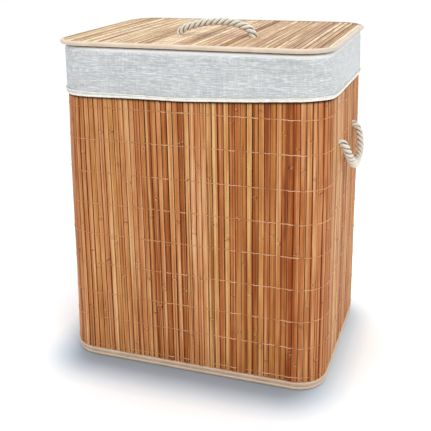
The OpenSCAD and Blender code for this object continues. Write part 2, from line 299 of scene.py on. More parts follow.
def tube(build, line, radius, sides=8, first=(0, 0, 1), flat=(1.0, 1.0), closed=False, **marks):
    """Adds a tube along a line of points. radius is one number or one a point; flat scales the section's two axes."""
    line = np.asarray(line, float)
    n = len(line)
    _, u, v = frames_along(line, first, closed)
    angle = np.arange(sides) * TURN / sides
    r = np.broadcast_to(np.asarray(radius, float), n)[:, None]
    c, s = np.cos(angle)[None], np.sin(angle)[None]
    verts = line[:, None] + u[:, None] * (c * r * flat[0])[..., None] + v[:, None] * (s * r * flat[1])[..., None]
    gone = distance_along(line) * MM
    mean_r = float(np.mean(r))
    around = angle * mean_r * MM
    faces = grid_faces(n, sides, closed, True)
    last = np.linalg.norm(line[-1] - line[0]) * MM
    runs = grid_runs(gone, around, closed, True, last, TURN / sides * mean_r * MM)
    if not closed:
        faces += caps(n, sides)
        runs += [tuple((gone[end], a) for a in around) for end in (0, -1)]
    build.add(verts, flip(faces), flip(runs), **{k: np.repeat(np.broadcast_to(m, n), sides) for k, m in marks.items()})


def smooth_line(points, step):
    """A smooth line through points (Catmull-Rom), resampled at even steps."""
    p = np.asarray(points, float)
    p = np.vstack([2 * p[0] - p[1], p, 2 * p[-1] - p[-2]])
    out = []
    for k in range(1, len(p) - 2):
        a, b, c, d = p[k - 1:k + 3]
        for t in np.linspace(0, 1, 24, endpoint=False):
            square, cube = (2 * a - 5 * b + 4 * c - d) * t * t, (3 * b - a - 3 * c + d) * t ** 3
            out.append(0.5 * (2 * b + (c - a) * t + square + cube))
    out = np.array(out + [p[-2]])
    gone = distance_along(out)
    at = np.linspace(0, gone[-1], max(3, int(round(gone[-1] / step)) + 1))
    return np.stack([np.interp(at, gone, out[:, k]) for k in range(3)], axis=1)


def wavy(seed, waves, reach, low, high):
    """A smooth random function of a distance, made of a few sine waves whose lengths lie between low and high."""
    dice = random.Random(seed)
    parts = [(dice.uniform(low, high), dice.uniform(0, TURN), dice.uniform(0.5, 1.0)) for _ in range(waves)]
    total = sum(p[2] for p in parts)
    return lambda s: reach * sum(a * np.sin(TURN * s / length + ph) for length, ph, a in parts) / total


# ---------- materials ----------

class Look:
    """A node material with short calls for the nodes it needs."""

    def __init__(self, name, rough, specular=0.5, **settings):
        self.material = bpy.data.materials.new(name)
        self.material.use_nodes = True
        self.tree = self.material.node_tree
        self.shader = self.tree.nodes["Principled BSDF"]
        for key, value in {"Roughness": rough, "Specular_IOR_Level": specular, **settings}.items():
            self.shader.inputs[key.replace("_", " ")].default_value = value
        places = self.node("TexCoord").outputs
        self.coords, self.normal = places["Object"], places["Normal"]

    def link(self, value, socket):
        if isinstance(value, bpy.types.NodeSocket):
            self.tree.links.new(value, socket)
        else:
            socket.default_value = value

    def node(self, kind, inputs=(), **settings):
        """A new node. inputs are pairs of a socket's name or number and its value, a number or a socket."""
        node = self.tree.nodes.new("ShaderNode" + kind)
        for key, value in settings.items():
            setattr(node, key, value)
        for key, value in inputs:
            self.link(value, node.inputs[key])
        return node

    def mark(self, name):
        """A value that the mesh carries at its points."""
        return self.node("Attribute", attribute_name=name).outputs["Fac"]

    def run(self):
        """Distance along and around a tube or tape."""
        return self.split(self.node("Attribute", attribute_name="run").outputs["Vector"])

    def math(self, kind, *values, clamp=False):
        return self.node("Math", enumerate(values), operation=kind, use_clamp=clamp).outputs[0]

    def sine(self, value):
        return self.math("SINE", value)

    def times(self, a, b):
        return self.math("MULTIPLY", a, b)

    def join(self, x, y, z):
        return self.node("CombineXYZ", enumerate((x, y, z))).outputs[0]

    def split(self, vector):
        return self.node("SeparateXYZ", [(0, vector)]).outputs

    def grain(self, scale, detail=3.0, rough=0.55, shift=(0, 0, 0)):
        """Noise over the object's place; scale is one number or one an axis."""
        scale = scale if isinstance(scale, tuple) else (scale,) * 3
        place = self.node("VectorMath", operation="MULTIPLY_ADD")
        for key, value in enumerate((self.coords, scale, shift)):
            self.link(value, place.inputs[key])
        inputs = (("Vector", place.outputs[0]), ("Scale", 1.0), ("Detail", detail), ("Roughness", rough))
        return self.node("TexNoise", inputs).outputs["Fac"]

    def ramp(self, value, stops):
        node = self.node("ValToRGB", [(0, value)])
        ramp = node.color_ramp
        while len(ramp.elements) < len(stops):
            ramp.elements.new(0.5)
        for element, (at, colour) in zip(ramp.elements, stops, strict=True):
            element.position = at
            element.color = (*colour, 1)
        return node.outputs[0]

    def mix(self, share, a, b, kind="MIX"):
        """Colour a, going over to b by share."""
        colours = [(*c, 1) if isinstance(c, tuple) else c for c in (a, b)]
        inputs = ((0, share), (6, colours[0]), (7, colours[1]))
        return self.node("Mix", inputs, data_type="RGBA", blend_type=kind).outputs[2]

    def span(self, value, low, high, to_low=0.0, to_high=1.0):
        return self.node("MapRange", enumerate((value, low, high, to_low, to_high))).outputs[0]

    def rough(self, noise, low, high):
        """Roughness that follows a noise."""
        return self.span(noise, 0.3, 0.7, low, high)

    def tint(self, colour, other, value, low, high, most=1.0):
        """colour, going over to a share of most of other as value goes from low to high."""
        return self.mix(self.span(value, low, high, 0.0, most), colour, other)

    def bump(self, height, distance, strength=1.0, under=None):
        inputs = [("Strength", strength), ("Distance", distance), ("Height", height)]
        return self.node("Bump", inputs + ([] if under is None else [("Normal", under)])).outputs[0]

    def finish(self, colour=None, rough=None, normal=None):
        for value, key in ((colour, "Base Color"), (rough, "Roughness"), (normal, "Normal")):
            if value is not None:
                self.link(value, self.shader.inputs[key])
        return self.material


# the shade on the slats under the hem: its colour, and the heights over the hem where it starts and is full
HEM_SHADE, SHADE_LOW, SHADE_HIGH = (0.03, 0.010, 0.004), -0.0074, -0.0046


def bamboo_material(name, tones, along, ring_colour, streaks=0.60, specular=0.2, rims=0.62):
    """Split bamboo: each slat has its own tone, long fibres, blotches and darker growth rings; paler edges, part wear
    and part painted highlight; darker edges and sides, painted shade in the gaps; a painted shadow under the hem.
    """
    look = Look(name, 0.5, specular)
    dark, light = tones[0][1], tones[-1][1]
    shift = look.mark("slat")
    own = look.join(*[look.times(shift, k) for k in (7.3, 3.1, 11.7)])

    def grain(across, lengthways, detail, rough):
        scale = (across, lengthways if along == "y" else across, lengthways if along == "z" else across)
        return look.grain(scale, detail, rough, own)

    fibres = grain(1500, 12, 4, 0.62)
    streak = grain(430, 2.6, 3, 0.6)
    blotch = grain(80, 14, 4, 0.6)
    crack = grain(370, 3.2, 2, 0.5)
    stain = grain(120, 9, 3, 0.6)
    tone = look.mark("tone")
    for noise, weight in ((streak, 2.0), (blotch, 1.3), (fibres, 0.9)):
        tone = look.math("MULTIPLY_ADD", look.math("SUBTRACT", noise, 0.5), streaks * weight, tone)
    tone = look.math("ADD", tone, look.span(crack, 0.42, 0.36, 0.0, 0.26))
    tone = look.math("SUBTRACT", tone, look.span(stain, 0.62, 0.74, 0.0, 0.30))
    colour = look.tint(look.ramp(tone, tones), dark, crack, 0.585, 0.635, 0.75)
    hue = look.math("FRACT", look.times(shift, 17.3))
    hues = look.ramp(hue, [(0.0, (1.02, 0.97, 1.06)), (0.5, (1.0, 1.0, 1.0)), (1.0, (0.98, 1.03, 0.86))])
    colour = look.mix(1.0, colour, hues, "MULTIPLY")
    # edge: above 0 a paler edge, part wear and part painted highlight; below 0 painted shade on the other edge and in
    # the gaps
    edge = look.mark("edge")
    colour = look.tint(colour, light, edge, 0.15, 1.0, rims)
    colour = look.tint(colour, dark, edge, -0.15, -1.0, 0.85)
    fleck = look.grain(380, 2, 0.6, own)
    ring = look.mark("ring")
    for other, low, high, most in ((ring_colour, 0.48, 0.56, 1.0), (light, 0.45, 0.38, 0.9)):
        share = look.math("MULTIPLY", ring, look.span(fleck, low, high, 0.0, most), clamp=True)
        colour = look.mix(share, colour, other)
    below = look.math("SUBTRACT", look.split(look.coords)[2], look.mark("hem"))
    colour = look.tint(colour, HEM_SHADE, below, SHADE_LOW, SHADE_HIGH, 0.92)
    normal = look.bump(streak, 0.0004, 0.2, look.bump(fibres, 0.00022, 0.5))
    return look.finish(colour, look.rough(streak, 0.42, 0.62), normal)


def thread_material(name, low, high, tones=None):
    """Fine twisted thread. Over bamboo it is half clear, so it takes part of the tone of the slat under it."""
    look = Look(name, 0.7, 0.2, Sheen_Weight=0.15)
    run = look.run()
    twist = look.sine(look.math("MULTIPLY_ADD", run[0], 5200.0, look.times(run[1], 2600.0)))
    colour = look.tint(low, high, look.grain(900), 0.35, 0.65)
    if tones:
        colour = look.mix(look.mark("show"), look.ramp(look.mark("tone"), tones), colour)
    return look.finish(colour, None, look.bump(twist, 0.0002, 0.6))


def tape_material(name, dark, middle, light, puckers=0.0010, grey_from=None):
    """Woven cotton tape: fine diagonal twill and a little uneven, with painted top light that makes its upward faces
    paler. It can be greyer beyond a place on the x axis."""
    look = Look(name, 0.82, 0.25, Sheen_Weight=0.25, Sheen_Roughness=0.5)
    run = look.run()
    twill, rib = 0.0009, 0.0006
    lines = look.sine(look.times(look.math("ADD", run[0], run[1]), TURN / twill))
    weave = look.math("MULTIPLY_ADD", look.sine(look.times(run[0], TURN / rib)), 0.4, lines)
    wear = look.grain(55, 4)
    colour = look.ramp(wear, [(0.3, dark), (0.5, middle), (0.72, light)])
    # painted top light: faces that look upwards are paler
    colour = look.tint(colour, (0.80, 0.70, 0.58), look.split(look.normal)[2], 0.05, 0.75, 0.35)
    colour = look.tint(colour, (0.78, 0.66, 0.53), weave, -1.4, 1.4, 0.35)
    if grey_from is not None:
        colour = look.tint(colour, (0.50, 0.46, 0.42), look.split(look.coords)[0], grey_from, grey_from + 0.02, 0.5)
    normal = look.bump(look.grain(160, 2), puckers, 0.5, look.bump(weave, 0.00012, 0.5))
    return look.finish(colour, look.rough(wear, 0.74, 0.9), normal)


def linen_material():
    """Slubbed linen: a fine weave with thick threads that show as broken lines, mostly level."""
    look = Look("liner_linen", 0.88, 0.2, Sheen_Weight=0.3, Sheen_Roughness=0.45)
    level = look.grain((34, 34, 1500), 3, 0.6)
    upright = look.grain((1300, 1300, 40), 3, 0.6)
    soft = look.grain((14, 14, 20), 3, 0.5)
    strokes = look.grain((125, 125, 1000), 1, 0.5)
    colour = look.ramp(soft, [(0.3, (0.41, 0.425, 0.43)), (0.55, (0.465, 0.475, 0.48)), (0.75, (0.515, 0.52, 0.525))])
    for other, noise, low, high, most in (
        ((0.80, 0.81, 0.81), strokes, 0.55, 0.66, 0.52),
        ((0.33, 0.35, 0.36), strokes, 0.45, 0.34, 0.5),
        ((0.82, 0.84, 0.85), level, 0.52, 0.74, 0.85),
        ((0.36, 0.385, 0.40), level, 0.47, 0.25, 0.7),
        ((0.74, 0.76, 0.77), upright, 0.5, 0.72, 0.5),
    ):
        colour = look.tint(colour, other, noise, low, high, most)
    # a painted highlight along the top of the fold under the lid's edge, and a paler tint over the hem band
    colour = look.mix(look.times(look.mark("worn"), 0.85), colour, (0.95, 0.94, 0.92))
    colour = look.mix(look.times(look.mark("shade"), 0.7), colour, (0.12, 0.10, 0.08))
    normal = look.bump(look.math("ADD", level, look.times(upright, 0.6)), 0.0005, 0.55)
    return look.finish(colour, look.rough(level, 0.92, 0.8), look.bump(soft, 0.003, 0.3, normal))


def hem_material():
    """Cotton cord cover with diagonal ribs."""
    look = Look("hem_cotton", 0.85, 0.2, Sheen_Weight=0.25)
    run, rib = look.run(), 0.0011
    ribs = look.sine(look.times(look.math("MULTIPLY_ADD", run[1], 0.8, run[0]), TURN / rib))
    spots = look.grain(120)
    colour = look.ramp(spots, [(0.3, (0.80, 0.755, 0.66)), (0.6, (0.90, 0.875, 0.81)), (0.8, (0.95, 0.94, 0.90))])
    normal = look.bump(spots, 0.0012, 0.5, look.bump(ribs, 0.0002, 0.5))
    return look.finish(colour, look.rough(spots, 0.78, 0.9), normal)


def backing_material(name, dark, light):
    """Plain non-fray backing cloth behind the slats."""
    look = Look(name, 0.9, 0.15)
    fine, broad = look.grain(900, 2), look.grain(30, 4)
    grain = look.math("MULTIPLY_ADD", fine, 0.6, look.times(broad, 0.6))
    colour = look.ramp(grain, [(0.35, dark), (0.8, light)])
    return look.finish(colour, look.rough(broad, 0.84, 0.95), look.bump(fine, 0.0004, 0.6))


def steel_material():
    """Drawn wire with fine lines along it."""
    look = Look("drawn_steel", 0.34, 0.5, Metallic=1.0)
    lines = look.grain((500, 500, 60), 4)
    colour = look.ramp(lines, [(0.3, (0.40, 0.41, 0.43)), (0.7, (0.62, 0.63, 0.65))])
    return look.finish(colour, look.rough(lines, 0.26, 0.5), look.bump(lines, 0.0001, 0.4))


def rope_material():
    """Twisted cotton: yarns that lie along each strand and loose fibres, with painted shade in the hollows between
    yarns and between strands. Around, 0 faces outwards.
    """
    look = Look("rope_cotton", 0.86, 0.2, Sheen_Weight=0.3, Sheen_Roughness=0.5)
    (along, around, _), yarn, yarns_round = look.run(), 0.0032, 7.0
    yarns = look.sine(look.math("MULTIPLY_ADD", along, TURN / yarn, look.times(around, yarns_round * TURN)))
    dirt = look.grain(70)
    colour = look.ramp(dirt, [(0.3, (0.87, 0.82, 0.68)), (0.55, (0.905, 0.87, 0.765)), (0.8, (0.93, 0.91, 0.84))])
    # painted shade in the grooves between yarns
    colour = look.mix(look.span(yarns, -1.0, -0.3, 0.35, 0.0), colour, (0.52, 0.43, 0.28))
    # painted shade in the hollows between strands: darker where a strand faces away from the rope's outside
    facing = look.math("COSINE", look.times(around, TURN))
    colour = look.tint(colour, (0.15, 0.10, 0.05), facing, 0.55, -0.05, 0.92)
    height = look.math("MULTIPLY_ADD", look.grain(1400, 4), 0.7, yarns)
    return look.finish(colour, look.rough(dirt, 0.8, 0.93), look.bump(height, 0.0005, 0.8))


def loop_tape_material():
    """Hook-and-loop tape, as a short pile."""
    look = Look("hook_and_loop", 0.95, 0.1, Sheen_Weight=0.4)
    pile = look.grain(1100, 4, 0.7)
    colour = look.ramp(pile, [(0.35, (0.60, 0.60, 0.58)), (0.65, (0.80, 0.80, 0.77))])
    return look.finish(colour, None, look.bump(pile, 0.0012, 0.8))


# tones of the floor, from a painted blue-grey shadow at the foot out to pale paper
FLOOR_SHADOW_TONES = [(0.0, (0.24, 0.265, 0.30)), (0.2, (0.31, 0.355, 0.41)), (0.4, (0.52, 0.59, 0.66)),
               (0.6, (0.76, 0.82, 0.87)), (0.8, (0.93, 0.955, 0.975)), (1.0, (0.962, 0.982, 0.995))]


def floor_material():
    """Pale paper floor, with a painted blue-grey shadow close round the foot, where the soft light leaves too little
    shadow.
    """
    look = Look("studio_floor", 0.9, 0.05, Emission_Color=(1.0, 1.0, 1.0, 1), Emission_Strength=0.05)
    x, y, _ = look.split(look.coords)
    over = []
    for place, size, middle in ((x, BODY_W - 30.0, -6.0), (y, BODY_D, -22.0)):
        away = look.math("ABSOLUTE", look.math("SUBTRACT", place, middle * MM))
        over.append(look.math("MAXIMUM", look.math("SUBTRACT", away, (size / 2 - CORNER_R) * MM), 0.0))
    far = look.math("SQRT", look.math("MULTIPLY_ADD", over[0], over[0], look.times(over[1], over[1])))
    share = look.span(far, (CORNER_R - 25) * MM, (CORNER_R + 85) * MM)
    share = look.math("MULTIPLY_ADD", look.math("SUBTRACT", look.grain(9, 2), 0.5), 0.06, share)
    return look.finish(look.ramp(share, FLOOR_SHADOW_TONES))


WALL_TONES = [(0.0, (0.20, 0.036, 0.006)), (0.25, (0.32, 0.082, 0.016)), (0.5, (0.435, 0.160, 0.044)),
              (0.75, (0.55, 0.245, 0.090)), (1.0, (0.67, 0.40, 0.19))]
# the lid's tones are paler and less saturated than the wall's: partly the lid slats' own colour, partly painted top
# light and reflected white
LID_TONES = [(0.0, (0.14, 0.050, 0.016)), (0.3, (0.32, 0.155, 0.06)), (0.55, (0.44, 0.255, 0.118)),
             (0.8, (0.55, 0.36, 0.195)), (1.0, (0.76, 0.605, 0.42))]

MAT = {
    "wall_bamboo": bamboo_material("wall_bamboo", WALL_TONES, "z", (0.13, 0.04, 0.015), specular=0.12),
    "lid_bamboo": bamboo_material("lid_bamboo", LID_TONES, "y", (0.30, 0.16, 0.08), 0.75, 0.35, 0.8),
    "thread": thread_material("mat_thread", (0.93, 0.52, 0.30), (1.0, 0.74, 0.50), WALL_TONES),
    "lid_thread": thread_material("lid_mat_thread", (0.50, 0.33, 0.19), (0.64, 0.46, 0.30), LID_TONES),
    "stitch": thread_material("sewing_thread", (0.66, 0.50, 0.37), (0.80, 0.66, 0.52)),
    "tape": tape_material("binding_twill", (0.54, 0.40, 0.28), (0.63, 0.49, 0.365), (0.70, 0.57, 0.44),
                          grey_from=0.176),
    "hinge_tape": tape_material("hinge_twill", (0.585, 0.445, 0.32), (0.62, 0.48, 0.355), (0.655, 0.515, 0.385),
                                puckers=0.0004),
    "foot_tape": tape_material("foot_binding_twill", (0.54, 0.36, 0.225), (0.62, 0.43, 0.29), (0.69, 0.51, 0.365)),
    "linen": linen_material(),
    "hem": hem_material(),
    # near black: painted shade for the gaps between the slats, behind which this cloth is seen
    "gap_shade_backing": backing_material("gap_shade_backing", (0.045, 0.013, 0.004), (0.10, 0.032, 0.011)),
    "panel_backing": backing_material("panel_backing", (0.34, 0.33, 0.31), (0.52, 0.51, 0.49)),
    "steel": steel_material(),
    "rope": rope_material(),
    "loop_tape": loop_tape_material(),
}


# ---------- slats ----------

# height of the folded edge round the rim, as (x, y, z)
HEM_HEIGHTS = [(-202, -60, 424.6), (-157, -152, 424.8), (-135, -152, 424.4), (-109, -152, 425.2), (-2, -152, 425.5),
               (98, -152, 430.0), (150, -152, 433.4), (185, -140, 435.6), (202, -90, 430.0), (202, 0, 428.5),
               (202, 80, 428.0), (150, 152, 427.0), (-150, 152, 427.0)]
NO_HEM = 1e4   # for slats that the folded edge doesn't cover


def hem_heights(points, gone):
    """Height of the folded edge at each point of the rim's outline."""
    s = gone[:-1]
    stops = sorted((s[np.argmin(np.hypot(points[:, 0] - x, points[:, 1] - y))], z) for x, y, z in HEM_HEIGHTS)
    hem = np.interp(s, [a for a, _ in stops], [z for _, z in stops], period=gone[-1])
    for _ in range(60):
        hem = (np.roll(hem, 1) + hem * 2 + np.roll(hem, -1)) / 4
    return hem


# darker and paler groups of slats, as (place across, reach, change of tone)
FRONT_GROUPS = [(-133, 8, 0.13), (-87, 4, 0.28), (-71, 4, -0.10), (-29, 4, -0.36), (-21, 4, 0.14), (-12, 4, -0.10),
                (-4, 4, -0.36), (8, 7, 0.16), (29, 4, 0.22), (50, 8, 0.20), (75, 7, -0.28), (95.5, 4, 0.28),
                (104, 4, -0.22), (125, 7, -0.28), (137, 4, 0.16), (150, 8, -0.42)]
SIDE_GROUPS = [(-84, 14, 0.22), (-50, 14, 0.34), (-33, 9, 0.06), (-11, 8, -0.42), (2, 5, -0.05), (28, 14, -0.10),
               (45, 50, 0.08), (97, 10, 0.26)]
CORNER_GROUPS = [(-76, 13, -0.16), (-14, 8, -0.30)]   # places in degrees
# for each panel, the usual tone, how far slats vary from it, how narrow they are, and the groups
PANELS = {
    "front": (0.60, 1.0, 1.0, FRONT_GROUPS),
    "back": (0.58, 1.8, 1.0, ()),
    "left": (0.58, 2.0, 1.4, ()),
    "right": (0.56, 3.0, 1.4, SIDE_GROUPS),
    "corner": (0.56, 2.0, 1.4, CORNER_GROUPS),
}


def tone_at(groups, place, dice, base, spread):
    """A slat's tone, from 0 (darkest) to 1 (palest)."""
    tone = base + spread * (dice.triangular(-0.16, 0.16, 0.0) + (dice.random() < 0.10) * dice.uniform(-0.18, 0.14))
    for at, reach, change in groups:
        tone += change * math.exp(-((place - at) / reach) ** 2)
    return min(0.98, max(0.02, tone))


def slat_rings(z0, z1, dice, step=24.0):
    """Heights of the rings of one slat, closer at its growth rings, with how strong a growth ring is at each."""
    nodes, z = [], z0 + dice.uniform(10, 260)
    while z < z1 - 8:
        nodes.append(z)
        z += dice.uniform(150, 300)
    levels = list(np.arange(z0, z1, step)) + [z1]
    for n in nodes:
        levels = [v for v in levels if abs(v - n) > 6] + [n - 4.5, n - 1.8, n, n + 1.2, n + 3.2]
    levels = sorted(v for v in levels if z0 <= v <= z1)
    strength = np.array([max([math.exp(-((v - n) / 2.6) ** 2) for n in nodes] + [0.0]) for v in levels])
    return np.array(levels), strength * dice.uniform(0.45, 1.0)


def add_slat(build, at, across, out, up, width, z0, z1, thick, tone, dice, hem=NO_HEM, reach_at=None):
    """One slat: at is the middle of its outer face at height 0; across, out and up are unit vectors. reach_at
    gives how far a panel's slats reach at a place across, and trims the ends to that curve."""
    levels, ring = slat_rings(z0, z1, dice)
    half = width / 2
    right = [(half * 0.45, 0.04), (half - 0.75, -0.05), (half - 0.2, -0.32), (half, -0.75), (half, -thick)]
    section = np.array([(-a, o) for a, o in reversed(right)] + right)
    # edge marks: one bevel paler (part wear, part painted highlight), the other darker, and the sides always -1,
    # painted shade in the gaps
    edge = np.array([0, 0, -1, -0.5, 0, 0, 0.5, 1, 0, 0]) * dice.uniform(0.35, 1.0) * dice.choice((1, 1, 1, -1))
    edge[[0, 1, 8, 9]] = -1
    proud = dice.uniform(-0.22, 0.12)
    bow, sway, swell, shave = (wavy(dice.random(), 2, reach, low, high)(levels)[:, None] for reach, low, high in (
        (0.14, 180, 420), (0.16, 160, 380), (0.10, 90, 260), (0.06, 60, 160)))
    at, across, out, up = (np.asarray(v, float) for v in (at, across, out, up))
    n, m = len(levels), len(section)
    face = np.where(section[None, :, 1] > -1.0, 1.0, 0.0)
    o = section[None, :, 1] + face * (proud + bow + 0.16 * ring[:, None])
    a = section[None, :, 0] * (1 + swell / half) + (sway + shave)
    trim = np.ones(m) if reach_at is None else np.array([reach_at(at[0] + k) / reach_at(at[0]) for k in section[:, 0]])
    verts = at + across * a[..., None] + out * o[..., None] + up * (levels[:, None] * trim)[..., None]
    faces = grid_faces(n, m, False, True) + caps(n, m)
    if np.dot(np.cross(across, out), up) > 0:
        faces = flip(faces)
    build.add(verts, faces, None, tone=tone, edge=np.tile(edge, n), ring=np.repeat(ring, m), slat=dice.random(),
              hem=hem * MM)


def apply_modifiers(piece):
    """Turns a piece's modifiers into its mesh."""
    graph = bpy.context.evaluated_depsgraph_get()
    mesh = bpy.data.meshes.new_from_object(piece.evaluated_get(graph), preserve_all_data_layers=True, depsgraph=graph)
    piece.modifiers.clear()
    piece.data = mesh


def drill(piece, holes, axis):
    """Cuts round holes for the rope through a piece."""
    cutter = Build()
    for at in holes:
        line = [np.array(at, float) + np.array(axis, float) * t for t in (-12, 12)]
        tube(cutter, line, HOLE_R, 24, (0, 1, 0) if abs(axis[1]) < 0.5 else (1, 0, 0))
    tool = cutter.piece("drill", MAT["steel"], runs=False)
    piece.modifiers.new("flat_faces", "TRIANGULATE")
    cut = piece.modifiers.new("holes", "BOOLEAN")
    cut.operation, cut.object, cut.solver = "DIFFERENCE", tool, "EXACT"
    apply_modifiers(piece)
    bpy.data.objects.remove(tool)
    spread_marks(piece.data)


def side_holes(*sides):
    return [(side * BODY_W / 2, y, SIDE_HOLE_Z) for side in sides for y in (-HOLE_SPAN / 2, HOLE_SPAN / 2)]


def spread_marks(mesh, names=("tone", "slat", "hem")):
    """Gives the points that a cut made, which have no marks, those of the slat they belong to."""
    if names[0] not in mesh.attributes:
        return
    marks = np.zeros((len(names), len(mesh.vertices)))
    for row, name in zip(marks, names):
        mesh.attributes[name].data.foreach_get("value", row)
    known = marks[names.index("slat")] > 0
    edges = np.zeros(len(mesh.edges) * 2, int)
    mesh.edges.foreach_get("vertices", edges)
    one, other = edges.reshape(-1, 2).T
    before = -1
    while known.sum() != before:
        before = known.sum()
        for a, b in ((one, other), (other, one)):
            take = known[a] & ~known[b]
            marks[:, b[take]] = marks[:, a[take]]
            known[b[take]] = True
    for row, name in zip(marks, names):
        mesh.attributes[name].data.foreach_set("value", row)


def round_off(piece, angle=40.0):
    """Smooth shading that keeps sharp edges sharp."""
    smooth_shade(piece.data)
    piece.data.set_sharp_from_angle(angle=math.radians(angle))


def wall_slats():
    """Every wall slat as (panel, middle of the outer face, across, out, pitch, thickness, place along its panel)."""
    rows = []
    for side, panel in ((-1, "front"), (1, "back")):
        for i in range(FRONT_COUNT):
            x = (-FRONT_RUN / 2 + FRONT_PITCH * (i + 0.5)) * -side
            rows.append((panel, (x, side * BODY_D / 2, 0), (-side, 0, 0), (0, side, 0), FRONT_PITCH, SLAT_T, x))
    halves = (-SIDE_RUN / 2, SEAM_Y - SEAM_GAP / 2), (SEAM_Y + SEAM_GAP / 2, SIDE_RUN / 2)
    for side, panel in ((1, "right"), (-1, "left")):
        for start, stop in halves:
            pitch = (stop - start) / HALF_SIDE_COUNT
            for i in range(HALF_SIDE_COUNT):
                y = start + pitch * (i + 0.5)
                rows.append((panel, (side * BODY_W / 2, y, 0), (0, side, 0), (side, 0, 0), pitch, SLAT_T, y))
    step = math.radians(90 / CORNER_COUNT)
    chord, set_in = 2 * CORNER_R * math.sin(step / 2), CORNER_R * (1 - math.cos(step / 2))
    for sx, sy in ((1, -1), (-1, -1), (1, 1), (-1, 1)):
        for i in range(CORNER_COUNT):
            a = math.atan2(sy, sx) - math.pi / 4 + step * (i + 0.5)
            out = np.array((math.cos(a), math.sin(a), 0))
            at = np.array((sx * FRONT_RUN / 2, sy * SIDE_RUN / 2, 0)) + out * (CORNER_R - set_in + 0.1)
            across = (-out[1], out[0], 0)
            rows.append(("corner", tuple(at), across, tuple(out), chord, SLAT_T - set_in, math.degrees(a)))
    return rows


def make_wall():
    """The wall's slats. Returns each as (place, across, out, width, tone)."""
    dice = random.Random(20)
    builds = {p: Build() for p in ("front", "back", "left", "right", "corner")}
    seen = []
    rim, _, gone = outline(BODY_W, BODY_D, CORNER_R, RIM_STEP)
    hems = hem_heights(rim, gone)
    for panel, at, across, out, pitch, thick, place in wall_slats():
        base, spread, gap, groups = PANELS[panel]
        tone = tone_at(groups, place, dice, base, spread)
        width = pitch - dice.uniform(0.40, 1.25) * gap
        ends = dice.uniform(-0.4, 0.4)
        bare = at[1] > 0 and abs(at[0]) < BACK_OPEN_W / 2 + 2
        hem = NO_HEM if bare else hems[np.argmin(np.hypot(rim[:, 0] - at[0], rim[:, 1] - at[1]))]
        add_slat(builds[panel], at, across, out, (0, 0, 1), width, SLAT_Z0 + 0.2, SLAT_Z1 + ends, thick, tone, dice,
                 hem)
        seen.append((at, across, out, width, tone))
    for panel, build in builds.items():
        piece = build.piece(panel + "_bamboo", MAT["wall_bamboo"], smooth=False, runs=False)
        if panel in ("left", "right"):
            drill(piece, side_holes(1 if panel == "right" else -1), (1, 0, 0))
        round_off(piece)
        part_of(piece, "basket", "bamboo", panel + "_slats")
    return seen


def add_weave(slats, level, dice, over=0.42, under=-2.15):
    """Two strands that cross between the slats, so that one of them lies on each slat's face. Yields each strand
    as its line, and the tone and show of each point."""
    for first in (0, 1):
        line, tones, shows = [], [], []
        for k, (at, across, out, width, tone, show) in enumerate(slats):
            at, across, out = (np.asarray(v, float) for v in (at, across, out))
            if (k + first) % 2 == 0:
                lift = over - dice.random() ** 2 * 0.45
                stops = ((-0.5 * width + 0.15, lift - 0.42), (-0.34 * width, lift), (0.34 * width, lift),
                         (0.5 * width - 0.15, lift - 0.42))
            else:
                stops = ((-0.25 * width, under), (0.25 * width, under))
            line += [at + across * a + out * o + np.array(level, float) for a, o in stops]
            tones += [tone] * len(stops)
            shows += [show] * len(stops)
        yield np.array(line), np.array(tones), np.array(shows)


def dash_shows(at, tone, dice):
    """How pale a dash of thread looks on its slat: most on dark slats, and more to the right than to the left."""
    side = np.clip((at[0] + 80) / 160, -0.1, 1) * 0.3 if at[1] < 0 else 0.15
    hidden = dice.random() < 0.30
    return float(np.clip(0.12 + 1.6 * (0.58 - tone) + side + dice.uniform(-0.2, 0.35) - 0.55 * hidden, 0.03, 1.0))


def wander(dice):
    """How a thread row wanders to the sides along its line."""
    return wavy(dice.random(), 3, 0.5, 25, 90)


def make_wall_threads(slats):
    """The thread rows of the two mats. Each mat ends at the seam in the middle of a side."""
    dice = random.Random(7)
    middle = np.array([s[0][:2] for s in slats], float)
    order = np.argsort(np.arctan2(middle[:, 1] - SEAM_Y, middle[:, 0]))
    mats = [[slats[k] for k in order if middle[k, 1] < SEAM_Y], [slats[k] for k in order if middle[k, 1] > SEAM_Y]]
    build = Build()
    for z in THREAD_ROWS:
        for mat in mats:
            drift = wander(dice)
            turned = [(at, (-o[1], o[0], 0.0), o, width, tone, dash_shows(at, tone, dice))
                      for at, _, o, width, tone in mat]
            for apart, (line, tones, shows) in zip((-0.28, 0.28), add_weave(turned, (0, 0, z), dice)):
                keep = np.ones(len(line), bool)
                if abs(z - SIDE_HOLE_Z) < HOLE_R:
                    near = np.abs(line[:, 0]) > BODY_W / 2 - 8
                    keep = ~(near & (np.abs(np.abs(line[:, 1]) - HOLE_SPAN / 2) < HOLE_R + 0.3))
                line[:, 2] += drift(np.arange(len(line)) * THREAD_STEP) * 0.6 + apart
                for run in np.split(np.arange(len(line)), np.where(~keep)[0]):
                    run = run[keep[run]]
                    if len(run) > 4:
                        tube(build, line[run], WALL_THREAD_R, 5, flat=(1.35, 0.9), tone=tones[run], show=shows[run])
    build.place("wall_threads", MAT["thread"], "basket", "thread", "slat_threads")


